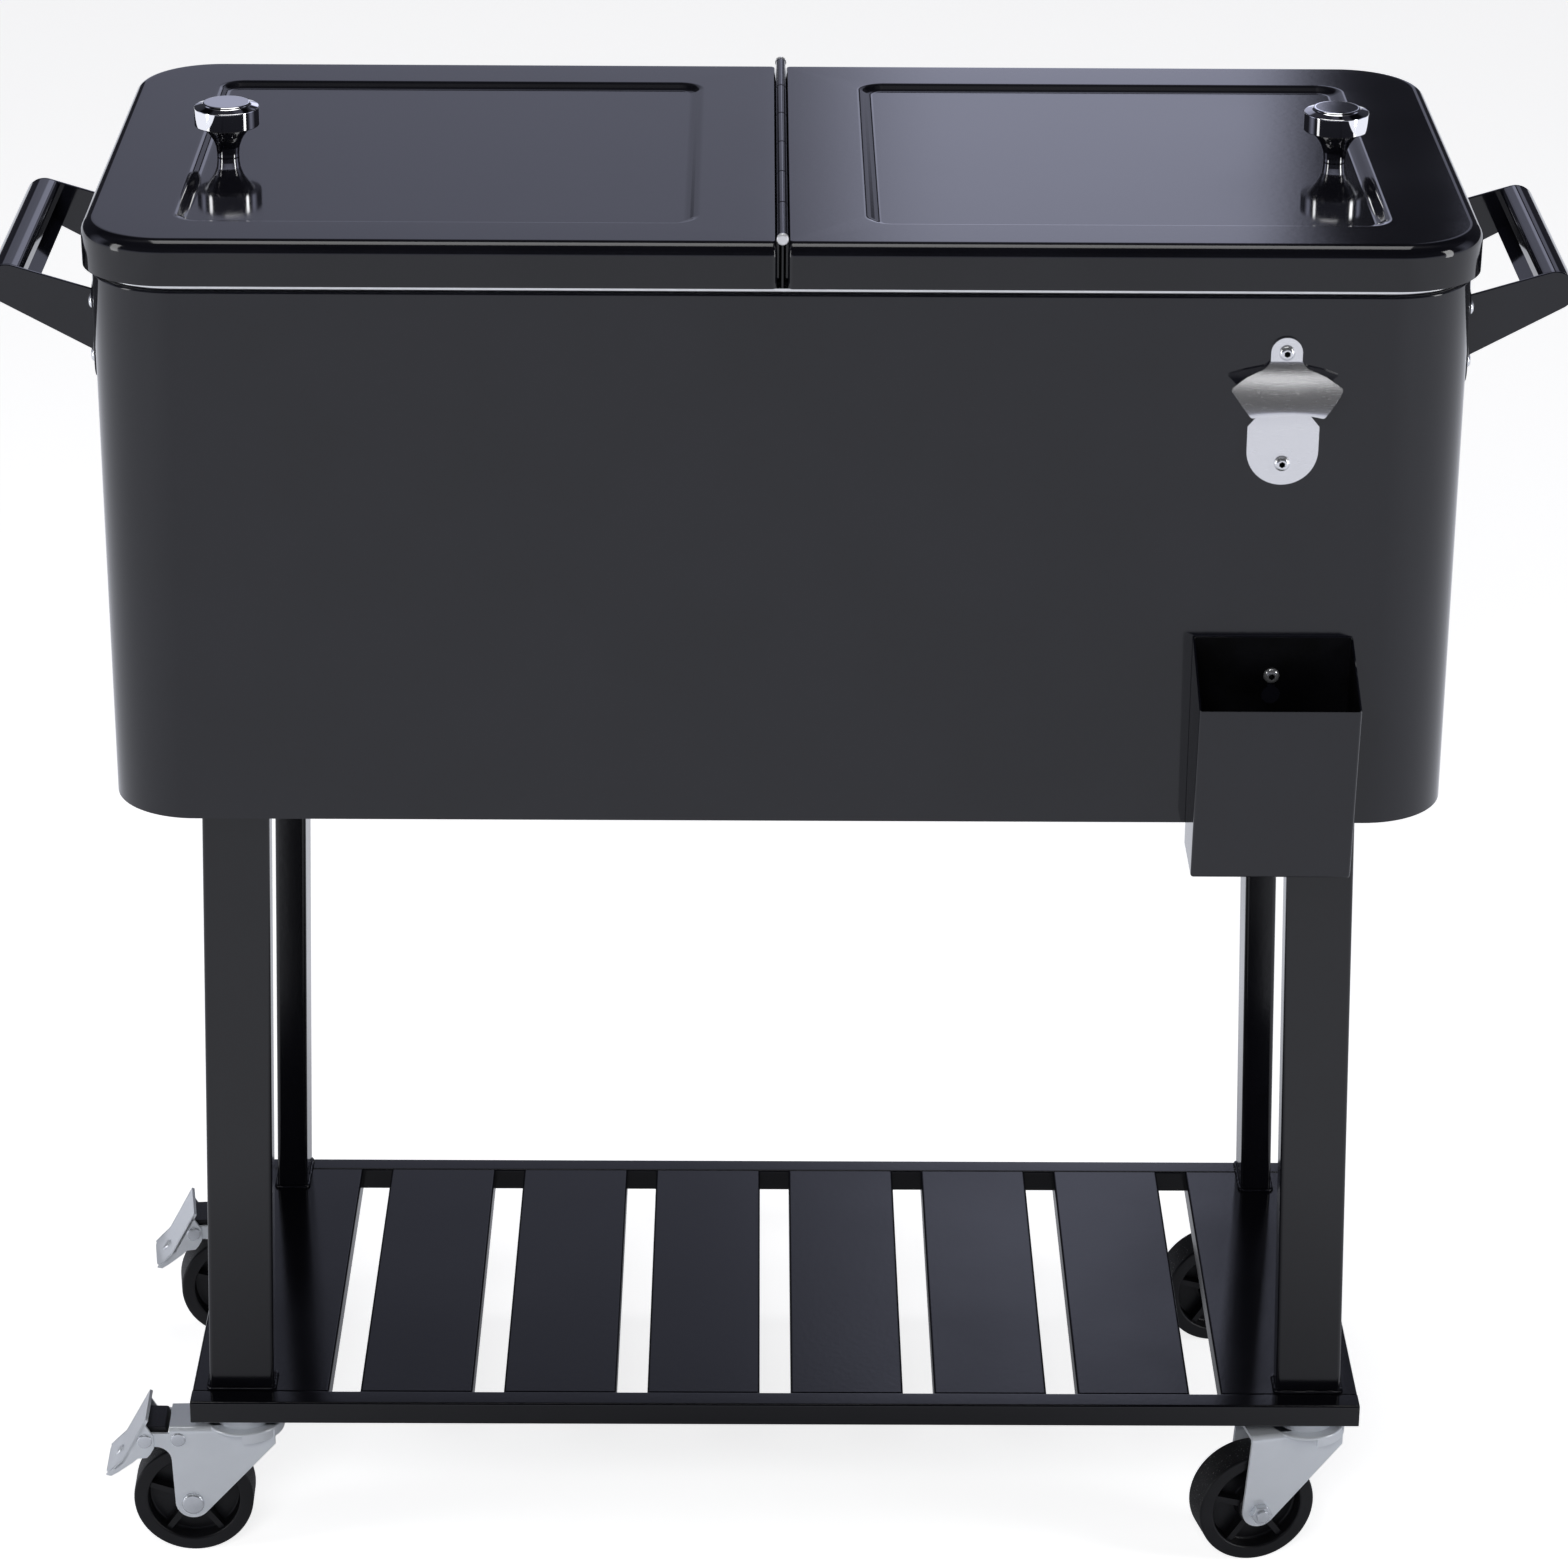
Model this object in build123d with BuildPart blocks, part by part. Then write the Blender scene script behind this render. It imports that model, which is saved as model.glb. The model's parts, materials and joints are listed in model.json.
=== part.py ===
from build123d import *

import os
from math import hypot

# Rolling patio cooler: an insulated body with two lids on a slatted cart.
# Lengths are in millimetres. +X is the viewer's right, -Y the front, +Z up; the floor is at zero.

os.makedirs("parts", exist_ok=True)

# Fits that many pieces share
seat_gap = 0.3
pin_play = 0.05
overrun = 2.0

# Body
body_width = 783.0
body_depth = 363.0
body_height = 322.0
body_corner = 50.0
shell_sheet = 1.2
shell_hem = 12.0
foam_thickness = 20.0
tub_wall = 2.2
tub_flange_thickness = 2.0
tub_flange_inset = 0.5
tub_floor_corner = 12.0

# Rim, gasket and crossbar
trim_thickness = 1.6
trim_border = 8.5
gasket_width = 6.0
gasket_height = 2.6
gasket_margin = 2.0
gasket_corner = 20.0
crossbar_width = 44.0
crossbar_drop = 15.0
crossbar_sheet = 1.6

# Lids
lid_overhang = 4.5
lid_height = 25.9
lid_corner = 50.0
lid_roll = 8.0
lid_sheet = 1.2
lid_inner_corner = 9.2
lid_gap = 6.0
skirt_gap = 1.1
panel_outer_margin = 53.0
panel_inner_margin = 45.5
panel_front_margin = 41.0
panel_back_margin = 45.0
panel_depth = 3.0
panel_bevel = 5.5
panel_corner = 14.0
lid_liner_thickness = 2.0
plug_drop = 8.0
plug_inset = 8.0
plug_corner = 24.0
lid_foam_inset = 10.0

# Hinge between the lids
hinge_rise = 2.0
hinge_pin_radius = 1.5
knuckle_radius = 3.0
knuckle_count = 6
knuckle_gap = 0.4
hinge_end_inset = 0.5
leaf_thickness = 1.0
leaf_bottom_gap = 1.3
leaf_end_inset = 5.0
pin_head_radius = 3.5
pin_head_height = 2.4
foot_width = 16.0
foot_thickness = 0.8
foot_end_inset = 9.0

# Knobs
knob_edge_distance = 18.0
knob_setback = 10.0
knob_base_radius = 6.75
knob_neck_height = 19.3
knob_neck_radius = 14.0
knob_cap_radius = 19.0
knob_cap_height = 10.9
knob_height = 33.0
knob_dome_radius = 13.5
knob_cap_edge = 2.0
knob_screw_radius = 2.5
knob_screw_length = 14.0
knob_screw_head_radius = 6.0
knob_screw_head_height = 3.0
screw_pocket_radius = 8.0
screw_pocket_depth = 5.0

# Button head screws on the outside of the body
button_radius = 4.6
button_height = 2.7
button_socket_radius = 1.7
button_socket_depth = 1.6
button_shank_radius = 2.4
button_shank_length = 12.0
foam_pocket_radius = 6.0
foam_pocket_depth = 15.0

# Bottle opener on the front wall
opener_side_distance = 108.0
opener_screw_drop = 32.2
opener_screw_spacing = 65.8
opener_sheet = 2.0
opener_tab_radius = 8.9
opener_neck_half_width = 11.5
opener_neck_drop = 8.5
opener_wing_half_width = 31.7
opener_wing_drop = 17.5
opener_lip_half_width = 20.4
opener_lip_drop = 32.2
opener_lip_rise = 2.6
opener_plate_half_width = 20.3
opener_plate_centre_drop = 58.3
opener_shoulder_top_drop = 30.0
opener_shoulder_drop = 43.8
opener_hood_reach = 21.0
opener_hood_bulge = 11.5
opener_hood_bulge_drop = 13.0
opener_hood_start_drop = 5.0
opener_fillet = 3.0

# Cap catcher below the opener
catcher_width = 92.3
catcher_back_height = 131.2
catcher_front_height = 109.2
catcher_top_depth = 60.0
catcher_bottom_depth = 47.0
catcher_hang = 13.7
catcher_sheet = 1.2
catcher_gap = 0.4
catcher_edge = 2.0
catcher_screw_drop = 23.5
catcher_lift = 12.0
keyhole_radius = 5.6

# Handles
handle_setback = -12.0
handle_plate_length = 220.0
handle_plate_height = 58.0
handle_plate_thickness = 3.0
handle_plate_corner = 10.0
handle_centre_drop = 44.0
handle_screw_spacing = 32.0
handle_screw_inset = 10.0
bail_end_margin = 24.0
bail_sheet = 2.5
bail_root_top_rise = 17.5
bail_root_bottom_drop = 20.3
bail_end_reach = 51.5
bail_end_rise = 21.0
bail_end_radius = 11.6
bail_grip_start = 39.5

# Drain at the back
drain_side_distance = 141.5
drain_radius = 9.0
drain_bore_radius = 6.0
drain_floor_gap = 2.0
drain_flange_radius = 14.0
drain_flange_thickness = 2.5
drain_nozzle_length = 13.0
drain_cap_radius = 12.5
drain_cap_length = 18.0
drain_cap_end = 2.5
drain_cap_flutes = 12
drain_flute_radius = 1.2

# Cart
caster_height = 100.5
rail_size = 15.0
rail_wall = 1.5
rail_corner = 1.5
shelf_side_inset = 28.0
shelf_front_inset = 20.5
slat_count = 8
slat_gap = 19.0
slat_wall = 1.0
leg_long_side = 40.0
leg_short_side = 20.0
leg_wall = 2.0
leg_corner = 2.5
leg_length = 403.5
leg_lean = 11.4
front_leg_side_inset = 30.7
front_leg_inset = 26.4
rear_leg_side_inset = 39.7
rear_leg_inset = 21.7
leg_plate_width = 84.0
leg_plate_depth = 48.0
leg_plate_thickness = 3.0
leg_plate_corner = 4.0
leg_bolt_spacing = 64.0
leg_bolt_radius = 3.0
leg_bolt_head_radius = 5.8
leg_bolt_head_height = 4.0
leg_bolt_length = 12.0
leg_nut_height = 4.8
bolt_pocket_radius = 7.0

# Casters
wheel_radius = 37.5
wheel_width = 24.0
wheel_edge = 3.0
wheel_rim_thickness = 9.0
wheel_hub_radius = 12.0
wheel_hub_width = 27.2
wheel_web_thickness = 4.0
wheel_spoke_count = 5
wheel_spoke_thickness = 3.5
wheel_spoke_inset = 3.0
caster_offset = 33.0
fork_sheet = 2.5
fork_half_width = 16.5
fork_top_gap = 9.0
fork_head_radius = 25.0
fork_skirt_depth = 7.0
fork_shoulder_x = 20.0
fork_shoulder_depth = 12.0
fork_axle_lug_radius = 11.0
fork_plain_reach = 40.0
fork_braked_reach = 46.0
fork_edge = 1.5
race_outer_radius = 18.25
race_inner_radius = 16.0
race_wall = 1.95
race_cup_height = 6.2
race_flange_thickness = 2.5
kingpin_radius = 6.0
kingpin_head_radius = 9.0
kingpin_head_height = 2.7
stem_radius = 5.0
stem_length = 14.0
axle_radius = 4.0
axle_head_radius = 7.0
axle_head_height = 3.0
axle_nut_radius = 6.6
axle_nut_height = 5.5
axle_end_stub = 2.0

# Brake pedals of the left casters, seen from the side, from the swivel axis and the floor
pedal_pivot_x = -61.2
pedal_pivot_height = 84.1
pedal_pivot_radius = 3.0
pedal_ear_gap = 0.3
pedal_sheet = 2.0
pedal_top_x = -60.2
pedal_top_height = 99.2
pedal_bend_x = -70.0
pedal_bend_height = 81.5
pedal_tip_x = -86.0
pedal_tip_height = 61.0
pedal_ear_radius = 7.0
pivot_lug_radius = 4.8
rivet_head_radius = 4.6
rivet_head_height = 1.3
brake_rivet_x = -40.5
brake_rivet_height = 83.5
brake_rivet_radius = 2.5
brake_lug_left_x = -54.0
brake_lug_height = 74.0

# Where each caster points: how far its trailing wheel is turned about the swivel axis
front_left_turn_degrees = 1.5
front_right_turn_degrees = 13.5
rear_left_turn_degrees = 8.0
rear_right_turn_degrees = 12.0

# Heights, from the floor up
shelf_top = caster_height + rail_size
leg_top = shelf_top + leg_length
body_bottom = leg_top + leg_plate_thickness
body_top = body_bottom + body_height
pan_top = body_bottom + shell_sheet
flange_top = body_top + tub_flange_thickness
rim_top = flange_top + trim_thickness
skirt_bottom = rim_top + skirt_gap
lid_top = skirt_bottom + lid_height
hinge_height = lid_top + hinge_rise
panel_top = lid_top - panel_depth
gasket_top = rim_top + gasket_height
liner_bottom = gasket_top + seat_gap
liner_top = liner_bottom + lid_liner_thickness

# The body's middle lies behind the origin, which is at the middle of the whole object's box
front_reach = body_depth / 2 + catcher_gap + catcher_top_depth
rear_reach = body_depth / 2 + drain_flange_thickness + seat_gap + drain_cap_length
body_y = (front_reach - rear_reach) / 2
front_wall = -body_depth / 2
rear_wall = body_depth / 2
opener_x = body_width / 2 - opener_side_distance
drain_x = -body_width / 2 + drain_side_distance

# The cart follows the body
shelf_width = body_width - 2 * shelf_side_inset
shelf_depth = body_depth - 2 * shelf_front_inset
front_leg_x = shelf_width / 2 - front_leg_side_inset
rear_leg_x = shelf_width / 2 - rear_leg_side_inset

# Inner sizes that follow from the walls
shell_inner_width = body_width - 2 * shell_sheet
shell_inner_depth = body_depth - 2 * shell_sheet
shell_inner_corner = body_corner - shell_sheet
tub_width = shell_inner_width - 2 * foam_thickness
tub_depth = shell_inner_depth - 2 * foam_thickness
tub_corner = shell_inner_corner - foam_thickness
tub_bottom = pan_top + foam_thickness
opening_width = tub_width - 2 * tub_wall
opening_depth = tub_depth - 2 * tub_wall
opening_corner = tub_corner - tub_wall
drain_height = tub_bottom + tub_wall + drain_floor_gap + drain_radius


def level(height, x=0, y=0):
    """A level plane at a height, measured from the middle of the body."""
    return Plane((x, body_y + y, height))


def facing_front(y, x=0, height=0):
    """An upright plane that faces the front; its own axes are +X and +Z."""
    return Plane((x, body_y + y, height), x_dir=(1, 0, 0), z_dir=(0, -1, 0))


def facing_back(y, x=0, height=0):
    """An upright plane that faces the back; its own axes are -X and +Z."""
    return Plane((x, body_y + y, height), x_dir=(-1, 0, 0), z_dir=(0, 1, 0))


def facing_right(x, y=0, height=0):
    """An upright plane that faces the right side; its own axes are +Y and +Z."""
    return Plane((x, body_y + y, height), x_dir=(0, 1, 0), z_dir=(1, 0, 0))


def facing_left(x, y=0, height=0):
    """An upright plane that faces the left side; its own axes are -Y and +Z."""
    return Plane((x, body_y + y, height), x_dir=(0, -1, 0), z_dir=(-1, 0, 0))


def save(piece, name):
    """Label a finished piece and write it as a STEP file of that name."""
    piece.part.label = name
    export_step(piece.part, f"parts/{name}.step")


def add_slab(plane, width, depth, corner, height, mode=Mode.ADD):
    """Add or cut a slab with rounded corners on a plane, inside the open BuildPart."""
    with BuildSketch(plane) as outline:
        RectangleRounded(width, depth, corner)
    extrude(outline.sketch, amount=height, mode=mode)


def add_disc(plane, radius, height, mode=Mode.ADD):
    """Add or cut a round disc or hole on a plane, inside the open BuildPart."""
    with BuildSketch(plane) as outline:
        Circle(radius)
    extrude(outline.sketch, amount=height, mode=mode)


def mirrored(piece):
    """The same piece on the other side of the body."""
    with BuildPart() as twin:
        mirror(piece.part, about=Plane.YZ)
    return twin


# Places of the fasteners on the body
opener_top_screw = body_top - opener_screw_drop
opener_screw_spots = [(opener_x, opener_top_screw), (opener_x, opener_top_screw - opener_screw_spacing)]
catcher_bottom = body_bottom - catcher_hang
catcher_top = catcher_bottom + catcher_back_height
catcher_screw_height = catcher_top - catcher_screw_drop
front_screw_spots = opener_screw_spots + [(opener_x, catcher_screw_height)]
handle_height = body_top - handle_centre_drop
handle_screw_reach = handle_plate_length / 2 - handle_screw_inset
handle_screw_spots = [
    (handle_setback + side * handle_screw_reach, handle_height + step * handle_screw_spacing / 2)
    for side in (-1, 1)
    for step in (-1, 1)
]
front_leg_y = -shelf_depth / 2 + front_leg_inset
rear_leg_y = shelf_depth / 2 - rear_leg_inset
leg_spots = {
    "front_left_leg": (-front_leg_x, front_leg_y, leg_long_side, leg_short_side),
    "front_right_leg": (front_leg_x, front_leg_y, leg_long_side, leg_short_side),
    "rear_left_leg": (-rear_leg_x, rear_leg_y, leg_short_side, leg_long_side),
    "rear_right_leg": (rear_leg_x, rear_leg_y, leg_short_side, leg_long_side),
}


def leg_lean_towards_middle(x):
    """How far a leg's upper end lies from its foot; all four lean towards the middle."""
    return -leg_lean if x > 0 else leg_lean


leg_plate_spots = [(x + leg_lean_towards_middle(x), y) for x, y, _, _ in leg_spots.values()]
leg_bolt_spots = [
    (x + side * leg_bolt_spacing / 2, y) for x, y in leg_plate_spots for side in (-1, 1)
]

# Outer shell: one wrapped sheet, hemmed inwards at the top
with BuildPart() as outer_shell:
    with BuildSketch(level(body_bottom)):
        RectangleRounded(body_width, body_depth, body_corner)
        RectangleRounded(
            shell_inner_width, shell_inner_depth, shell_inner_corner, mode=Mode.SUBTRACT
        )
    extrude(amount=body_height)
    with BuildSketch(level(body_top - shell_sheet)):
        RectangleRounded(
            body_width - shell_sheet, body_depth - shell_sheet, body_corner - shell_sheet / 2
        )
        RectangleRounded(
            body_width - 2 * shell_hem,
            body_depth - 2 * shell_hem,
            body_corner - shell_hem,
            mode=Mode.SUBTRACT,
        )
    extrude(amount=shell_sheet)
    for x, height in front_screw_spots:
        hole_plane = facing_front(front_wall + overrun, x, height)
        add_disc(hole_plane, button_shank_radius + pin_play, 2 * overrun, Mode.SUBTRACT)
    for y, height in handle_screw_spots:
        hole_plane = facing_right(-body_width / 2 - overrun, y, height)
        add_disc(
            hole_plane, button_shank_radius + pin_play, body_width + 2 * overrun, Mode.SUBTRACT
        )
    drain_plane = facing_back(rear_wall - overrun, drain_x, drain_height)
    add_disc(drain_plane, drain_radius + pin_play, 2 * overrun, Mode.SUBTRACT)
save(outer_shell, "outer_shell")

# Base pan: the sheet that the foam stands on and that the legs are bolted to
with BuildPart() as base_pan:
    add_slab(
        level(body_bottom),
        shell_inner_width - 2 * seat_gap,
        shell_inner_depth - 2 * seat_gap,
        shell_inner_corner - seat_gap,
        shell_sheet,
    )
    for x, y in leg_bolt_spots:
        hole_plane = level(body_bottom - overrun, x, y)
        add_disc(hole_plane, leg_bolt_radius + pin_play, 2 * overrun + shell_sheet, Mode.SUBTRACT)
save(base_pan, "base_pan")

# Tub liner: the moulded tub, with a flange that lies on the shell's hem
with BuildPart() as tub_liner:
    add_slab(level(tub_bottom), tub_width, tub_depth, tub_corner, flange_top - tub_bottom)
    add_slab(
        level(body_top),
        body_width - 2 * tub_flange_inset,
        body_depth - 2 * tub_flange_inset,
        body_corner - tub_flange_inset,
        tub_flange_thickness,
    )
    with BuildPart(mode=Mode.PRIVATE) as tub_hollow:
        add_slab(
            level(tub_bottom + tub_wall),
            opening_width,
            opening_depth,
            opening_corner,
            flange_top - tub_bottom,
        )
        fillet(tub_hollow.faces().sort_by(Axis.Z)[0].edges(), tub_floor_corner)
    add(tub_hollow.part, mode=Mode.SUBTRACT)
    drain_plane = facing_back(tub_depth / 2 - tub_wall - overrun, drain_x, drain_height)
    add_disc(drain_plane, drain_radius + pin_play, tub_wall + 2 * overrun, Mode.SUBTRACT)
save(tub_liner, "tub_liner")

# Insulation foam: fills the space between shell and tub, with pockets for the fasteners
with BuildPart() as insulation_foam:
    add_slab(
        level(pan_top + seat_gap),
        shell_inner_width - 2 * seat_gap,
        shell_inner_depth - 2 * seat_gap,
        shell_inner_corner - seat_gap,
        body_height - 2 * shell_sheet - 2 * seat_gap,
    )
    add_slab(
        level(tub_bottom - seat_gap),
        tub_width + 2 * seat_gap,
        tub_depth + 2 * seat_gap,
        tub_corner + seat_gap,
        body_height,
        Mode.SUBTRACT,
    )
    for x, height in front_screw_spots:
        pocket_plane = facing_front(front_wall + foam_pocket_depth, x, height)
        add_disc(pocket_plane, foam_pocket_radius, foam_pocket_depth, Mode.SUBTRACT)
    for y, height in handle_screw_spots:
        for plane in (
            facing_right(body_width / 2 - foam_pocket_depth, y, height),
            facing_left(-body_width / 2 + foam_pocket_depth, y, height),
        ):
            add_disc(plane, foam_pocket_radius, foam_pocket_depth, Mode.SUBTRACT)
    for x, y in leg_bolt_spots:
        add_disc(level(pan_top, x, y), bolt_pocket_radius, leg_bolt_length, Mode.SUBTRACT)
    drain_plane = facing_back(tub_depth / 2 - overrun, drain_x, drain_height)
    add_disc(
        drain_plane, drain_radius + seat_gap, foam_thickness + shell_sheet + overrun, Mode.SUBTRACT
    )
save(insulation_foam, "insulation_foam")

# Rim trim: a bright flat frame on the flange, notched where the crossbar rests
with BuildPart() as rim_trim:
    with BuildSketch(level(flange_top)):
        RectangleRounded(body_width, body_depth, body_corner)
        RectangleRounded(opening_width, opening_depth, opening_corner, mode=Mode.SUBTRACT)
        Rectangle(
            crossbar_width + 2 * seat_gap, body_depth - 2 * trim_border, mode=Mode.SUBTRACT
        )
    extrude(amount=trim_thickness)
save(rim_trim, "rim_trim")

# Crossbar: a channel across the tub, which the lids' inner edges close on
crossbar_length = body_depth - 2 * trim_border - 2 * seat_gap
with BuildPart() as lid_crossbar:
    with BuildSketch(level(flange_top)):
        Rectangle(crossbar_width, crossbar_length)
    extrude(amount=crossbar_sheet)
    with BuildSketch(level(flange_top - crossbar_drop)):
        Rectangle(crossbar_width, opening_depth - 2 * seat_gap)
        Rectangle(crossbar_width - 2 * crossbar_sheet, opening_depth, mode=Mode.SUBTRACT)
    extrude(amount=crossbar_drop + crossbar_sheet / 2)
save(lid_crossbar, "lid_crossbar")

# Rim gasket: one loop under each lid, on the trim and on the crossbar
loop_outer = opening_width / 2 + gasket_margin + gasket_width
loop_inner = crossbar_width / 2 - 2 * gasket_margin - gasket_width
loop_width = loop_outer - loop_inner
loop_depth = opening_depth + 2 * gasket_margin + 2 * gasket_width
with BuildPart() as rim_gasket:
    with BuildSketch(level(rim_top)):
        with Locations(*[(side * (loop_outer + loop_inner) / 2, 0) for side in (-1, 1)]):
            RectangleRounded(loop_width, loop_depth, gasket_corner)
            RectangleRounded(
                loop_width - 2 * gasket_width,
                loop_depth - 2 * gasket_width,
                gasket_corner - gasket_width,
                mode=Mode.SUBTRACT,
            )
    extrude(amount=gasket_height)
save(rim_gasket, "rim_gasket")

# Lids: the right one is drawn, the left one is its mirror image
lid_outer_x = body_width / 2 + lid_overhang
lid_inner_x = lid_gap / 2
lid_depth = body_depth + 2 * lid_overhang
lid_middle_x = (lid_outer_x + lid_inner_x) / 2
knob_x = lid_outer_x - panel_outer_margin - knob_edge_distance
knob_y = -knob_setback


def lid_block(bottom, top, inset, roll):
    """A solid with the lid's outline, drawn in by an inset, its upper edge rolled over."""
    with BuildPart() as block:
        with BuildSketch(level(bottom)) as outline:
            with Locations((lid_middle_x, 0)):
                Rectangle(lid_outer_x - lid_inner_x - 2 * inset, lid_depth - 2 * inset)
            corners = outline.vertices().group_by(Axis.X)
            fillet(corners[-1], lid_corner - inset)
            fillet(outline.vertices().group_by(Axis.X)[0], lid_inner_corner - inset)
        extrude(amount=top - bottom)
        if roll > 0:
            fillet(block.faces().sort_by(Axis.Z)[-1].edges(), roll)
    return block


def sunk_panel(top, growth):
    """The bevelled block that presses the sunk panel into a lid, grown by a sheet's thickness."""
    width = lid_outer_x - lid_inner_x - panel_outer_margin - panel_inner_margin + 2 * growth
    depth = lid_depth - panel_front_margin - panel_back_margin + 2 * growth
    x = lid_middle_x + (panel_inner_margin - panel_outer_margin) / 2
    y = (panel_front_margin - panel_back_margin) / 2
    with BuildPart() as block:
        with BuildSketch(level(top - panel_depth, x, y)):
            RectangleRounded(
                width - 2 * panel_bevel, depth - 2 * panel_bevel, panel_corner - panel_bevel + growth
            )
        with BuildSketch(level(top, x, y)):
            RectangleRounded(width, depth, panel_corner + growth)
        loft()
        add_slab(level(top, x, y), width, depth, panel_corner + growth, overrun)
    return block


lid_hollow = lid_block(skirt_bottom - overrun, lid_top - lid_sheet, lid_sheet, lid_roll - lid_sheet)
panel_press = sunk_panel(lid_top, 0)
panel_underside = sunk_panel(lid_top - lid_sheet, lid_sheet)
with BuildPart() as right_lid_skin:
    add(lid_block(skirt_bottom, lid_top, 0, lid_roll).part)
    add(panel_press.part, mode=Mode.SUBTRACT)
    add(lid_hollow.part - panel_underside.part, mode=Mode.SUBTRACT)
    hole_plane = level(panel_top - lid_sheet - overrun, knob_x, knob_y)
    add_disc(
        hole_plane, knob_screw_radius + pin_play, lid_sheet + 2 * overrun, Mode.SUBTRACT
    )
save(right_lid_skin, "right_lid_skin")
save(mirrored(right_lid_skin), "left_lid_skin")

# Lid liner: the inner tray, whose plug reaches into the tub
plug_outer_x = opening_width / 2 - plug_inset
plug_inner_x = crossbar_width / 2 + plug_inset
plug_width = plug_outer_x - plug_inner_x
plug_depth = opening_depth - 2 * plug_inset
plug_x = (plug_outer_x + plug_inner_x) / 2
with BuildPart() as right_lid_liner:
    add(lid_block(liner_bottom, liner_top, lid_sheet + seat_gap, 0).part)
    add_slab(
        level(liner_bottom - plug_drop, plug_x), plug_width, plug_depth, plug_corner, plug_drop
    )
    add_slab(
        level(liner_bottom - plug_drop + lid_liner_thickness, plug_x),
        plug_width - 2 * lid_liner_thickness,
        plug_depth - 2 * lid_liner_thickness,
        plug_corner - lid_liner_thickness,
        plug_drop + overrun,
        Mode.SUBTRACT,
    )
save(right_lid_liner, "right_lid_liner")
save(mirrored(right_lid_liner), "left_lid_liner")

# Lid foam: fills the tray and the space below the skin, with a pocket for the knob's screw
foam_top = panel_top - lid_sheet - seat_gap
with BuildPart() as right_lid_foam:
    add(lid_block(liner_top + seat_gap, foam_top, lid_foam_inset - lid_sheet, 0).part)
    add_slab(
        level(liner_bottom - plug_drop + lid_liner_thickness + seat_gap, plug_x),
        plug_width - 2 * lid_liner_thickness - 2 * seat_gap,
        plug_depth - 2 * lid_liner_thickness - 2 * seat_gap,
        plug_corner - lid_liner_thickness - seat_gap,
        plug_drop + seat_gap,
    )
    pocket_plane = level(foam_top - screw_pocket_depth, knob_x, knob_y)
    add_disc(pocket_plane, screw_pocket_radius, screw_pocket_depth + overrun, Mode.SUBTRACT)
save(right_lid_foam, "right_lid_foam")
save(mirrored(right_lid_foam), "left_lid_foam")

# Knob: a trumpet neck under a flat cap with a domed crown
cap_top = knob_neck_height + knob_cap_height
with BuildPart() as right_knob:
    with BuildSketch(Plane.XZ):
        with BuildLine():
            foot = Line((0, 0), (knob_base_radius, 0))
            neck = Bezier(
                foot @ 1,
                (knob_base_radius, knob_neck_height / 2),
                (knob_base_radius, knob_neck_height - knob_cap_edge),
                (knob_neck_radius, knob_neck_height),
            )
            under_cap = Line(neck @ 1, (knob_cap_radius - knob_cap_edge, knob_neck_height))
            lower_edge = JernArc(under_cap @ 1, (1, 0), knob_cap_edge, 90)
            side_of_cap = Line(lower_edge @ 1, (knob_cap_radius, cap_top - knob_cap_edge))
            upper_edge = JernArc(side_of_cap @ 1, (0, 1), knob_cap_edge, 90)
            shoulder = Line(upper_edge @ 1, (knob_dome_radius, cap_top))
            crown = TangentArc((0, knob_height), shoulder @ 1, tangent=(1, 0))
            Line(crown @ 0, (0, 0))
        make_face()
    revolve(axis=Axis.Z)
    add_disc(Plane.XY, knob_screw_radius + pin_play, knob_screw_length + pin_play, Mode.SUBTRACT)
right_knob.part = right_knob.part.moved(level(panel_top, knob_x, knob_y).location)
save(right_knob, "right_knob")
save(mirrored(right_knob), "left_knob")

with BuildPart() as right_knob_screw:
    head_plane = level(panel_top - lid_sheet, knob_x, knob_y)
    add_disc(head_plane, knob_screw_head_radius, -knob_screw_head_height)
    fillet(right_knob_screw.faces().sort_by(Axis.Z)[0].edges(), knob_screw_head_height / 2)
    add_disc(head_plane, knob_screw_radius, lid_sheet + knob_screw_length)
save(right_knob_screw, "right_knob_screw")
save(mirrored(right_knob_screw), "left_knob_screw")

# Hinge between the lids: knuckles alternate from front to back
hinge_length = body_depth - 2 * hinge_end_inset
knuckle_pitch = hinge_length / knuckle_count
centre_knuckles = (0, 5)
left_knuckles = (1, 3)
right_knuckles = (2, 4)
leaf_top_gap = knuckle_radius + seat_gap


def add_knuckles(numbers):
    """Add the named knuckles of one leaf, inside the open BuildPart."""
    for number in numbers:
        y = -hinge_length / 2 + (number + 1) * knuckle_pitch - knuckle_gap / 2
        add_disc(
            facing_front(y, height=hinge_height), knuckle_radius, knuckle_pitch - knuckle_gap
        )


def add_leaf_plate(inner_x, outer_x, bottom, length, numbers):
    """Add an upright leaf, low between its own knuckles and tall below them."""
    middle_x = (inner_x + outer_x) / 2
    with BuildSketch(level(bottom, middle_x)) as plate:
        Rectangle(outer_x - inner_x, length)
    extrude(plate.sketch, amount=hinge_height - leaf_top_gap - bottom)
    for number in numbers:
        y = -hinge_length / 2 + (number + 1 / 2) * knuckle_pitch
        with BuildSketch(level(bottom, middle_x, y)) as riser:
            Rectangle(outer_x - inner_x, knuckle_pitch - knuckle_gap)
        extrude(riser.sketch, amount=hinge_height - bottom)


def bore_knuckles():
    """Bore the pin's hole through the knuckles of the open BuildPart."""
    bore_plane = facing_front(hinge_length / 2 + overrun, height=hinge_height)
    add_disc(
        bore_plane, hinge_pin_radius + pin_play, hinge_length + 2 * overrun, Mode.SUBTRACT
    )


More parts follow.
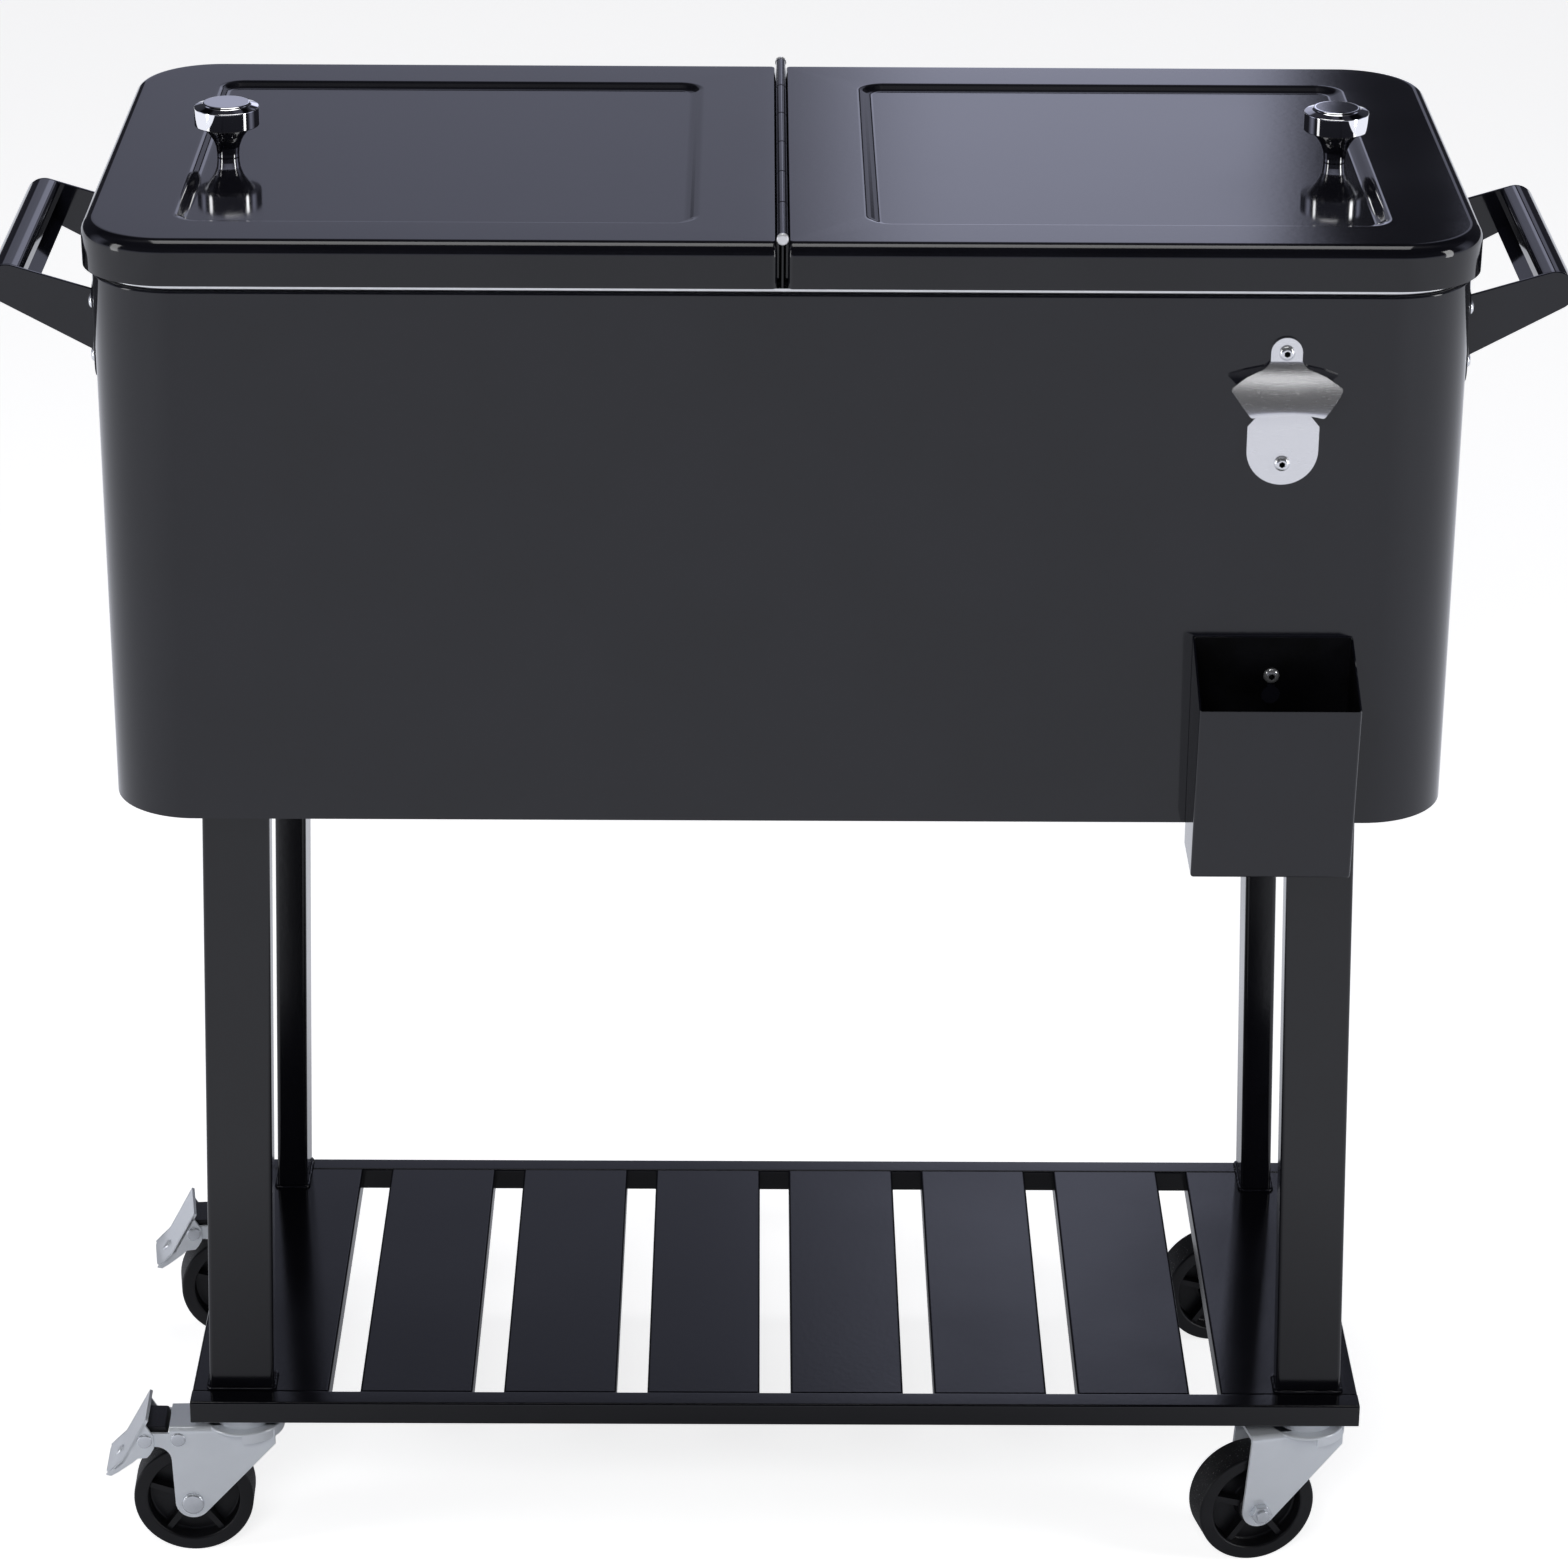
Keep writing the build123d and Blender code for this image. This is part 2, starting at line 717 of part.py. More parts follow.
leaf_length = lid_depth - 2 * (lid_inner_corner + leaf_end_inset)
for side, numbers in ((1, right_knuckles), (-1, left_knuckles)):
    near_x = side * (lid_inner_x - leaf_thickness)
    far_x = side * lid_inner_x
    with BuildPart() as hinge_leaf:
        add_leaf_plate(
            min(near_x, far_x),
            max(near_x, far_x),
            skirt_bottom + leaf_bottom_gap,
            leaf_length,
            numbers,
        )
        add_knuckles(numbers)
        bore_knuckles()
    save(hinge_leaf, "right_hinge_leaf" if side > 0 else "left_hinge_leaf")

foot_length = crossbar_length - 2 * foot_end_inset
with BuildPart() as hinge_centre_leaf:
    with BuildSketch(level(rim_top)):
        Rectangle(foot_width, foot_length)
    extrude(amount=foot_thickness)
    add_leaf_plate(
        -leaf_thickness / 2, leaf_thickness / 2, rim_top + seat_gap, hinge_length, centre_knuckles
    )
    add_knuckles(centre_knuckles)
    bore_knuckles()
save(hinge_centre_leaf, "hinge_centre_leaf")

with BuildPart() as hinge_pin:
    front_plane = facing_front(-hinge_length / 2 - seat_gap, height=hinge_height)
    rear_plane = facing_back(hinge_length / 2 + seat_gap, height=hinge_height)
    add_disc(front_plane, hinge_pin_radius, -hinge_length - 2 * seat_gap)
    for plane in (front_plane, rear_plane):
        add_disc(plane, pin_head_radius, pin_head_height)
    ends = hinge_pin.faces().filter_by(Plane.XZ).sort_by(Axis.Y)
    fillet([ends[0].edges(), ends[-1].edges()], pin_head_height / 2)
save(hinge_pin, "hinge_pin")


def make_button_screw():
    """A button head screw; its seat is the plane XY and its shank points down."""
    with BuildPart() as screw:
        add_disc(Plane.XY, button_radius, button_height)
        fillet(screw.faces().sort_by(Axis.Z)[-1].edges(), button_height * 2 / 3)
        with BuildSketch(Plane.XY.offset(button_height - button_socket_depth)) as socket:
            RegularPolygon(button_socket_radius, 6)
        extrude(socket.sketch, amount=button_socket_depth + overrun, mode=Mode.SUBTRACT)
        add_disc(Plane.XY, button_shank_radius, -button_shank_length)
    return screw.part


# Bottle opener: a flat back plate and a hood that stands out to a curved lip
opener_front = front_wall - opener_sheet


def opener_point(half_width, drop):
    """A point of the opener seen from the front, measured from its upper screw."""
    return (half_width, opener_top_screw - drop)


with BuildPart() as opener_hood_sheet:
    with BuildSketch(facing_right(opener_x - opener_wing_half_width - overrun)):
        with BuildLine():
            ThreePointArc(
                (opener_front + opener_sheet / 2, opener_top_screw - opener_hood_start_drop),
                (
                    front_wall - opener_hood_bulge,
                    opener_top_screw - opener_hood_start_drop - opener_hood_bulge_drop / 2,
                ),
                (front_wall - opener_hood_reach, opener_top_screw - opener_lip_drop),
            )
        trace(line_width=opener_sheet)
    extrude(amount=2 * opener_wing_half_width + 2 * overrun)
with BuildPart() as opener_hood_outline:
    with BuildSketch(facing_front(overrun + front_wall, opener_x)) as hood:
        with BuildLine():
            for side in (-1, 1):
                Line(
                    opener_point(0, opener_hood_start_drop),
                    opener_point(side * opener_tab_radius, opener_hood_start_drop),
                )
                Line(
                    opener_point(side * opener_tab_radius, opener_hood_start_drop),
                    opener_point(side * opener_neck_half_width, opener_neck_drop),
                )
                Line(
                    opener_point(side * opener_neck_half_width, opener_neck_drop),
                    opener_point(side * opener_wing_half_width, opener_wing_drop),
                )
                Line(
                    opener_point(side * opener_wing_half_width, opener_wing_drop),
                    opener_point(side * opener_lip_half_width, opener_lip_drop),
                )
            ThreePointArc(
                opener_point(-opener_lip_half_width, opener_lip_drop),
                opener_point(0, opener_lip_drop - opener_lip_rise),
                opener_point(opener_lip_half_width, opener_lip_drop),
            )
        make_face()
        fillet(hood.vertices().group_by(Axis.X)[0], opener_fillet)
        fillet(hood.vertices().group_by(Axis.X)[-1], opener_fillet)
    extrude(amount=2 * opener_hood_reach)
with BuildPart() as bottle_opener:
    with BuildSketch(facing_front(front_wall, opener_x)):
        with Locations((0, opener_top_screw)):
            Circle(opener_tab_radius)
        with Locations((0, opener_top_screw - opener_plate_centre_drop)):
            Circle(opener_plate_half_width)
        Polygon(
            opener_point(opener_tab_radius, 0),
            opener_point(opener_tab_radius, opener_shoulder_top_drop),
            opener_point(opener_plate_half_width, opener_shoulder_drop),
            opener_point(opener_plate_half_width, opener_plate_centre_drop),
            opener_point(-opener_plate_half_width, opener_plate_centre_drop),
            opener_point(-opener_plate_half_width, opener_shoulder_drop),
            opener_point(-opener_tab_radius, opener_shoulder_top_drop),
            opener_point(-opener_tab_radius, 0),
            align=None,
        )
    extrude(amount=opener_sheet)
    add(opener_hood_sheet.part & opener_hood_outline.part)
    for x, height in opener_screw_spots:
        hole_plane = facing_front(front_wall + overrun, x, height)
        add_disc(
            hole_plane, button_shank_radius + pin_play, opener_sheet + 2 * overrun, Mode.SUBTRACT
        )
save(bottle_opener, "bottle_opener")

# Cap catcher: a folded bin, open at the top, hung on one screw by a keyhole
catcher_back = front_wall - catcher_gap
with BuildPart() as cap_catcher:
    with BuildSketch(facing_right(opener_x - catcher_width / 2)):
        Polygon(
            (catcher_back, catcher_bottom),
            (catcher_back, catcher_top),
            (catcher_back - catcher_top_depth, catcher_bottom + catcher_front_height),
            (catcher_back - catcher_bottom_depth, catcher_bottom),
            align=None,
        )
    extrude(amount=catcher_width)
    fillet(
        cap_catcher.edges().filter_by(Axis.X).group_by(Axis.Z)[0].sort_by(Axis.Y)[0], catcher_edge
    )
    offset(amount=-catcher_sheet, openings=cap_catcher.faces().sort_by(Axis.Z)[-1])
    keyhole_plane = facing_front(catcher_back, opener_x, catcher_screw_height)
    with BuildSketch(keyhole_plane) as keyhole:
        Circle(button_shank_radius + pin_play)
        with Locations((0, -catcher_lift)):
            Circle(keyhole_radius)
        with Locations((0, -catcher_lift / 2)):
            Rectangle(2 * (button_shank_radius + pin_play), catcher_lift)
    extrude(keyhole.sketch, amount=2 * catcher_sheet, mode=Mode.SUBTRACT)
save(cap_catcher, "cap_catcher")

catcher_screw_seat = catcher_back - catcher_sheet - seat_gap
with BuildPart() as front_screws:
    for x, height in opener_screw_spots:
        with Locations(facing_front(opener_front, x, height)):
            add(make_button_screw())
    with Locations(facing_front(catcher_screw_seat, opener_x, catcher_screw_height)):
        add(make_button_screw())
save(front_screws, "front_screws")

# Handles: a plate screwed to the body's side, and a bail of bent sheet welded to it
handle_plate_face = body_width / 2 + handle_plate_thickness
bail_span = handle_plate_length - 2 * bail_end_margin
with BuildPart() as right_handle_plate:
    add_slab(
        facing_right(body_width / 2, handle_setback, handle_height),
        handle_plate_length,
        handle_plate_height,
        handle_plate_corner,
        handle_plate_thickness,
    )
    for y, height in handle_screw_spots:
        hole_plane = facing_right(body_width / 2 - overrun, y, height)
        add_disc(
            hole_plane,
            button_shank_radius + pin_play,
            handle_plate_thickness + 2 * overrun,
            Mode.SUBTRACT,
        )
save(right_handle_plate, "right_handle_plate")
save(mirrored(right_handle_plate), "left_handle_plate")


def bail_outline(plane):
    """A sketch of the bail's side: wide at its root, round at its outer end."""
    with BuildSketch(plane) as outline:
        with BuildLine():
            Line((0, bail_root_top_rise), (0, -bail_root_bottom_drop))
            CenterArc((bail_end_reach, bail_end_rise), bail_end_radius, 0, 360)
        make_hull()
    return outline.sketch


bail_front = handle_setback - bail_span / 2
bail_plane = facing_front(bail_front, handle_plate_face, handle_height)
with BuildPart() as bail_grip_core:
    with BuildSketch(bail_plane) as core:
        add(bail_outline(bail_plane))
        offset(amount=-bail_sheet, mode=Mode.REPLACE)
    extrude(amount=-bail_span)
    with BuildSketch(facing_right(handle_plate_face - overrun, handle_setback, handle_height)):
        Rectangle(2 * bail_span, 2 * bail_span)
    extrude(amount=bail_grip_start + overrun)
with BuildPart() as right_handle_bail:
    extrude(bail_outline(bail_plane), amount=-bail_span)
    with BuildPart(mode=Mode.PRIVATE) as between_arms:
        add_slab(
            facing_right(handle_plate_face - overrun, handle_setback, handle_height),
            bail_span - 2 * bail_sheet,
            2 * bail_span,
            bail_sheet,
            bail_end_reach + 2 * bail_end_radius,
        )
    add(between_arms.part & bail_grip_core.part, mode=Mode.SUBTRACT)
save(right_handle_bail, "right_handle_bail")
save(mirrored(right_handle_bail), "left_handle_bail")

with BuildPart() as handle_screws:
    for y, height in handle_screw_spots:
        seats = (
            facing_right(handle_plate_face, y, height),
            facing_left(-handle_plate_face, y, height),
        )
        with Locations(*seats):
            add(make_button_screw())
save(handle_screws, "handle_screws")

# Drain: a spout from the tub through the back wall, and its screw cap
drain_flange_face = rear_wall + drain_flange_thickness
with BuildPart() as drain_spout:
    inner_plane = facing_back(opening_depth / 2, drain_x, drain_height)
    spout_length = drain_flange_face + drain_nozzle_length - opening_depth / 2
    add_disc(inner_plane, drain_radius, spout_length)
    add_disc(
        facing_back(rear_wall, drain_x, drain_height), drain_flange_radius, drain_flange_thickness
    )
    add_disc(inner_plane, drain_bore_radius, spout_length, Mode.SUBTRACT)
save(drain_spout, "drain_spout")

with BuildPart() as drain_cap:
    cap_plane = facing_back(drain_flange_face + seat_gap, drain_x, drain_height)
    with BuildSketch(cap_plane):
        Circle(drain_cap_radius)
        with PolarLocations(drain_cap_radius, drain_cap_flutes):
            Circle(drain_flute_radius, mode=Mode.SUBTRACT)
    extrude(amount=drain_cap_length)
    add_disc(
        cap_plane, drain_radius + seat_gap, drain_cap_length - drain_cap_end, Mode.SUBTRACT
    )
save(drain_cap, "drain_cap")


def add_tube(plane, width, depth, corner, wall, length, direction=None):
    """Add a rectangular tube on a plane, upright or along a direction."""
    with BuildSketch(plane) as section:
        RectangleRounded(width, depth, corner)
        Rectangle(width - 2 * wall, depth - 2 * wall, mode=Mode.SUBTRACT)
    extrude(section.sketch, amount=length, dir=direction)


# Legs: rectangular tubes that lean a little towards the middle
for name, (x, y, width, depth) in leg_spots.items():
    lean = leg_lean_towards_middle(x)
    with BuildPart() as leg:
        add_tube(
            level(shelf_top, x, y),
            width,
            depth,
            leg_corner,
            leg_wall,
            hypot(lean, leg_length),
            (lean, 0, leg_length),
        )
    save(leg, name)

with BuildPart() as leg_plates:
    for x, y in leg_plate_spots:
        add_slab(
            level(leg_top, x, y),
            leg_plate_width,
            leg_plate_depth,
            leg_plate_corner,
            leg_plate_thickness,
        )
    for x, y in leg_bolt_spots:
        hole_plane = level(leg_top - overrun, x, y)
        add_disc(
            hole_plane,
            leg_bolt_radius + pin_play,
            leg_plate_thickness + 2 * overrun,
            Mode.SUBTRACT,
        )
save(leg_plates, "leg_plates")

with BuildPart() as leg_bolts:
    for x, y in leg_bolt_spots:
        with BuildSketch(level(leg_top, x, y)):
            RegularPolygon(leg_bolt_head_radius, 6)
        extrude(amount=-leg_bolt_head_height)
        add_disc(level(leg_top, x, y), leg_bolt_radius, leg_bolt_length)
        with BuildSketch(level(pan_top, x, y)):
            RegularPolygon(leg_bolt_head_radius, 6)
            Circle(leg_bolt_radius + pin_play, mode=Mode.SUBTRACT)
        extrude(amount=leg_nut_height)
save(leg_bolts, "leg_bolts")

# Shelf: front and rear rails run through, the side rails stand between them
rail_middle = caster_height + rail_size / 2
side_rail_length = shelf_depth - 2 * rail_size
for name, y in (
    ("front_shelf_rail", -shelf_depth / 2 + rail_size / 2),
    ("rear_shelf_rail", shelf_depth / 2 - rail_size / 2),
):
    with BuildPart() as long_rail:
        plane = facing_right(-shelf_width / 2, y, rail_middle)
        add_tube(plane, rail_size, rail_size, rail_corner, rail_wall, shelf_width)
    save(long_rail, name)
for name, side in (("left_shelf_rail", -1), ("right_shelf_rail", 1)):
    x = side * (shelf_width - rail_size) / 2
    with BuildPart() as side_rail:
        plane = facing_front(side_rail_length / 2, x, rail_middle)
        add_tube(plane, rail_size, rail_size, rail_corner, rail_wall, side_rail_length)
    save(side_rail, name)

slat_field = shelf_width - 2 * rail_size
slat_width = (slat_field - (slat_count - 1) * slat_gap) / slat_count
caster_spots = {
    "front_left_caster": (-front_leg_x, front_leg_y, front_left_turn_degrees, True, False),
    "front_right_caster": (front_leg_x, front_leg_y, front_right_turn_degrees, False, True),
    "rear_left_caster": (-front_leg_x, rear_leg_y, rear_left_turn_degrees, True, False),
    "rear_right_caster": (front_leg_x, rear_leg_y, rear_right_turn_degrees, False, True),
}
with BuildPart() as shelf_slats:
    for number in range(slat_count):
        x = -slat_field / 2 + slat_width / 2 + number * (slat_width + slat_gap)
        plane = facing_front(side_rail_length / 2, x, rail_middle)
        add_tube(plane, slat_width, rail_size, rail_corner, slat_wall, side_rail_length)
    for x, y, _, _, _ in caster_spots.values():
        hole_plane = level(caster_height - overrun, x, y)
        add_disc(hole_plane, stem_radius + pin_play, rail_size + 2 * overrun, Mode.SUBTRACT)
save(shelf_slats, "shelf_slats")

# Casters. Each is drawn about its swivel axis with the wheel trailing towards -X, then turned.
fork_top = caster_height - fork_top_gap
fork_inner = fork_half_width - fork_sheet
axle_x = -caster_offset
kingpin_head_top = fork_top - fork_sheet - seat_gap


def make_raceway(spot):
    """Threaded stem, upper race and kingpin in one, riveted through the fork."""
    with BuildPart() as raceway:
        seat = spot * Plane.XY.offset(caster_height)
        add_disc(seat, stem_radius, stem_length)
        add_disc(seat, race_outer_radius, -race_flange_thickness)
        add_disc(seat, race_inner_radius - seat_gap, -(fork_top_gap - seat_gap))
        add_disc(seat, kingpin_radius, kingpin_head_top - caster_height)
        head_plane = spot * Plane.XY.offset(kingpin_head_top)
        add_disc(head_plane, kingpin_head_radius, -kingpin_head_height)
    return raceway


def cheek_outline(plane, reach, braked):
    """One cheek of the fork seen from the side, from the top plate down to the axle's lug."""
    with BuildSketch(plane) as outline:
        with BuildLine():
            Polyline(
                (-reach, fork_top),
                (fork_shoulder_x, fork_top),
                (fork_shoulder_x, fork_top - fork_shoulder_depth),
            )
            CenterArc((axle_x, wheel_radius), fork_axle_lug_radius, 0, 360)
        make_hull()
        if braked:
            with BuildLine():
                Polyline(
                    (pedal_pivot_x, pedal_pivot_height + pivot_lug_radius),
                    (axle_x, fork_top),
                    (axle_x, wheel_radius),
                    (brake_lug_left_x + fork_axle_lug_radius, brake_lug_height),
                    (brake_lug_left_x, brake_lug_height),
                    (pedal_pivot_x, pedal_pivot_height - pivot_lug_radius),
                    (pedal_pivot_x, pedal_pivot_height + pivot_lug_radius),
                )
            make_face()
            with Locations((pedal_pivot_x, pedal_pivot_height)):
                Circle(pivot_lug_radius)
    return outline.sketch


def make_fork(spot, braked):
    """Pressed fork: a round head over the wheel and a cheek on each side of it."""
    reach = fork_braked_reach if braked else fork_plain_reach
    with BuildPart() as fork:
        with BuildSketch(spot * Plane.XY.offset(fork_top)) as head:
            Circle(fork_head_radius)
            with Locations((-reach / 2, 0)):
                Rectangle(reach, 2 * fork_half_width)
        extrude(head.sketch, amount=-fork_sheet)
        fillet(fork.faces().sort_by(Axis.Z)[-1].edges().filter_by(GeomType.CIRCLE), fork_edge)
        with BuildSketch(spot * Plane.XY.offset(fork_top - fork_sheet)) as skirt:
            Circle(fork_head_radius)
            Circle(fork_head_radius - fork_sheet, mode=Mode.SUBTRACT)
            with Locations((-fork_head_radius, 0)):
                Rectangle(2 * fork_head_radius, 2 * fork_head_radius, mode=Mode.SUBTRACT)
        extrude(skirt.sketch, amount=fork_sheet - fork_skirt_depth)
        for offset_y in (-fork_half_width, fork_inner):
            cheek = cheek_outline(spot * Plane.XZ.offset(-offset_y), reach, braked)
            extrude(cheek, amount=-fork_sheet)
        with BuildSketch(spot * Plane.XY.offset(fork_top)) as cup:
            Circle(race_outer_radius)
            Circle(race_outer_radius - race_wall, mode=Mode.SUBTRACT)
        extrude(cup.sketch, amount=race_cup_height)
        drill_height = 2 * fork_half_width + 2 * overrun
        side_plane = spot * Plane.XZ.offset(-fork_half_width - overrun)
        with BuildSketch(side_plane) as holes:
            with Locations((axle_x, wheel_radius)):
                Circle(axle_radius + pin_play)
            if braked:
                with Locations((pedal_pivot_x, pedal_pivot_height)):
                    Circle(pedal_pivot_radius + pin_play)
                with Locations((brake_rivet_x, brake_rivet_height)):
                    Circle(brake_rivet_radius + pin_play)
        extrude(holes.sketch, amount=drill_height, mode=Mode.SUBTRACT)
        king_plane = spot * Plane.XY.offset(fork_top + overrun)
        add_disc(
            king_plane, kingpin_radius + pin_play, -(fork_sheet + 2 * overrun), Mode.SUBTRACT
        )
    return fork


def spot_axis(spot):
    """The axis that points out of the front cheek of a caster."""
    plane = Plane(spot * Plane.XZ)
    return Axis(plane.origin, plane.z_dir)


def make_axle(spot, braked, nut_in_front):
    """Axle bolt with its nut, and the two brake rivets where there is a brake."""
    facing = -1 if nut_in_front else 1
    head_side = Plane.XZ.offset(facing * fork_half_width)
    nut_side = Plane.XZ.offset(-facing * fork_half_width)
    with BuildPart() as axle:
        with BuildSketch(spot * head_side) as head:
            with Locations((axle_x, wheel_radius)):
                Circle(axle_head_radius)
        extrude(head.sketch, amount=facing * axle_head_height)
        side = -1 if facing > 0 else 0
        fillet(
            axle.edges().filter_by(GeomType.CIRCLE).sort_by(spot_axis(spot))[side],
            axle_head_height / 2,
        )
        with BuildSketch(spot * head_side) as shank:
            with Locations((axle_x, wheel_radius)):
                Circle(axle_radius)
        shank_length = 2 * fork_half_width + axle_nut_height + axle_end_stub
        extrude(shank.sketch, amount=-facing * shank_length)
        with BuildSketch(spot * nut_side) as nut:
            with Locations((axle_x, wheel_radius)):
                RegularPolygon(axle_nut_radius, 6)
                Circle(axle_radius, mode=Mode.SUBTRACT)
        extrude(nut.sketch, amount=-facing * axle_nut_height)
        if braked:
            ear_face = fork_half_width + pedal_ear_gap + pedal_sheet + pedal_ear_gap
            for x, height, radius, half_span in (
                (pedal_pivot_x, pedal_pivot_height, pedal_pivot_radius, ear_face),
                (brake_rivet_x, brake_rivet_height, brake_rivet_radius, fork_half_width),
            ):
                with BuildSketch(spot * Plane.XZ.offset(-half_span)) as rivet:
                    with Locations((x, height)):
                        Circle(radius)
                extrude(rivet.sketch, amount=2 * half_span)
                for end in (-1, 1):
                    with BuildSketch(spot * Plane.XZ.offset(end * half_span)) as rivet_head:
                        with Locations((x, height)):
                            Circle(rivet_head_radius)
                    extrude(rivet_head.sketch, amount=end * rivet_head_height)
    return axle


def make_wheel(spot):
    """Moulded wheel: rim, thin web, hub and ribs on both sides of the web."""
    rim_inner = wheel_radius - wheel_rim_thickness
    middle = spot * Plane.XZ
    with BuildPart() as wheel:
        with BuildSketch(middle) as disc:
            with Locations((axle_x, wheel_radius)):
                Circle(wheel_radius)
        extrude(disc.sketch, amount=wheel_width / 2, both=True)
        fillet(wheel.edges().filter_by(GeomType.CIRCLE), wheel_edge)
        for face in (-1, 1):
            with BuildSketch(spot * Plane.XZ.offset(face * wheel_web_thickness / 2)) as pocket:
                with Locations((axle_x, wheel_radius)):
                    Circle(rim_inner)
            extrude(pocket.sketch, amount=face * wheel_width, mode=Mode.SUBTRACT)
        rib_width = wheel_width - 2 * wheel_spoke_inset
        with BuildSketch(middle) as ribs:
            with Locations((axle_x, wheel_radius)):
                with PolarLocations(0, wheel_spoke_count, start_angle=90):
                    Rectangle(
                        rim_inner + wheel_edge,
                        wheel_spoke_thickness,
                        align=(Align.MIN, Align.CENTER),
                    )
        extrude(ribs.sketch, amount=rib_width / 2, both=True)
        with BuildSketch(middle) as hub:
            with Locations((axle_x, wheel_radius)):
                Circle(wheel_hub_radius)
        extrude(hub.sketch, amount=wheel_hub_width / 2, both=True)
        with BuildSketch(middle) as bore:
            with Locations((axle_x, wheel_radius)):
                Circle(axle_radius + pin_play)
        extrude(bore.sketch, amount=wheel_hub_width, both=True, mode=Mode.SUBTRACT)
    return wheel


def make_pedal(spot):
    """Brake pedal: a bent foot plate with an ear on each side of the fork."""
    ear_inner = fork_half_width + pedal_ear_gap
    ear_outer = ear_inner + pedal_sheet
    with BuildPart() as pedal:
        with BuildSketch(spot * Plane.XZ.offset(-ear_outer)) as plate:
            with BuildLine():
                Polyline(
                    (pedal_top_x, pedal_top_height),
                    (pedal_bend_x, pedal_bend_height),
                    (pedal_tip_x, pedal_tip_height),
                )
            trace(line_width=pedal_sheet)
        extrude(plate.sketch, amount=2 * ear_outer)
        for start in (-ear_outer, ear_inner):
            with BuildSketch(spot * Plane.XZ.offset(start)) as ear:
                with BuildLine():
                    Line((pedal_top_x, pedal_top_height), (pedal_bend_x, pedal_bend_height))
                    CenterArc(
                        (pedal_pivot_x, pedal_pivot_height), pedal_ear_radius, 0, 360
                    )
                make_hull()
                with Locations((pedal_pivot_x, pedal_pivot_height)):
                    Circle(pedal_pivot_radius + pin_play, mode=Mode.SUBTRACT)
            extrude(ear.sketch, amount=pedal_sheet)
    return pedal


for name, (x, y, turn, braked, nut_in_front) in caster_spots.items():
    spot = Plane(Location((x, body_y + y, 0), (0, 0, turn)))
    save(make_raceway(spot), f"{name}_raceway")
    save(make_fork(spot, braked), f"{name}_fork")
    save(make_axle(spot, braked, nut_in_front), f"{name}_axle")
    save(make_wheel(spot), f"{name}_wheel")
    if braked:
        save(make_pedal(spot), f"{name}_pedal")
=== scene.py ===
# %% [markdown]
# # A rolling patio cooler
#
# The cooler is a sheet metal body with two lids, on four legs over a slatted shelf with casters.
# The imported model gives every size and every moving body. This script dresses it: it models the
# surfaces again as smooth, rounded sheet metal and gives each of them a finish of its own.

import json
from math import asin, atan2, cos, hypot, pi, radians, sin, sqrt

import bmesh
import bpy
from mathutils import Matrix, Vector, noise


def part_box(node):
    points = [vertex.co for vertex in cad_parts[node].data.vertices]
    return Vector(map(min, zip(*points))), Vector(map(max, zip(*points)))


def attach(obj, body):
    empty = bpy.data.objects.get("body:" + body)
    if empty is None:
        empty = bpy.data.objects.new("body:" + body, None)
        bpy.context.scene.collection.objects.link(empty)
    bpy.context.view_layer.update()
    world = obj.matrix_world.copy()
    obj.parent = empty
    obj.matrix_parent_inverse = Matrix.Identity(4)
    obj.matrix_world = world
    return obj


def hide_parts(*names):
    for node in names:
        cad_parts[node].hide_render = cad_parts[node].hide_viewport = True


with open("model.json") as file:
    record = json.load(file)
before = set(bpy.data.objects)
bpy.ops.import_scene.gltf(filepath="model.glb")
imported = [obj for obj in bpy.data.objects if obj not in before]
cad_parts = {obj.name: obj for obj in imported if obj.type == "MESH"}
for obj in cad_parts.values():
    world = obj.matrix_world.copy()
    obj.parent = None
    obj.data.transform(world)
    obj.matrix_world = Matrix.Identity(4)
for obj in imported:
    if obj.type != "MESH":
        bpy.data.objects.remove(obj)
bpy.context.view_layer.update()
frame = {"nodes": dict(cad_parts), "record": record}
nodes = frame["nodes"]

# %% [markdown]
# ## Camera
#
# A long lens far away keeps the body nearly square, as in a catalogue picture. The place and the
# turn were found by matching corners of the real object, so they are written as they are.

# %% Camera
shell_low, shell_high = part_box("outer_shell")
middle_y = (shell_low.y + shell_high.y) / 2

camera_place = Vector((-0.01455, middle_y - 2.8495, 1.7183))
camera_yaw = radians(0.371)
camera_dip = radians(23.729)
camera_roll = radians(0.383)
camera_lens = 114.83
quarter_turn = pi / 2

camera_data = bpy.data.cameras.new("camera")
camera_data.lens = camera_lens
camera_data.sensor_width = 36.0
camera = bpy.data.objects.new("camera", camera_data)
bpy.context.scene.collection.objects.link(camera)
camera.matrix_world = (
    Matrix.Translation(camera_place)
    @ Matrix.Rotation(-camera_yaw, 4, "Z")
    @ Matrix.Rotation(quarter_turn - camera_dip, 4, "X")
    @ Matrix.Rotation(camera_roll, 4, "Z")
)
bpy.context.scene.camera = camera
bpy.context.scene.view_settings.view_transform = "Standard"
print("camera at", tuple(round(value, 3) for value in camera_place))

# %% [markdown]
# ## Studio
#
# Gloss black has hardly any colour of its own: what we see on it is the room. The room here is
# bright low down, as a white paper backdrop is, and dark higher up. So the flat lids mirror the
# backdrop and turn grey, while their rolled edges mirror the dark part and stay black.

# %% World
world = bpy.data.worlds.new("studio")
bpy.context.scene.world = world
world.use_nodes = True
world_nodes, world_links = world.node_tree.nodes, world.node_tree.links
world_nodes.clear()

direction = world_nodes.new("ShaderNodeTexCoord")
direction_parts = world_nodes.new("ShaderNodeSeparateXYZ")
world_links.new(direction.outputs["Generated"], direction_parts.inputs[0])


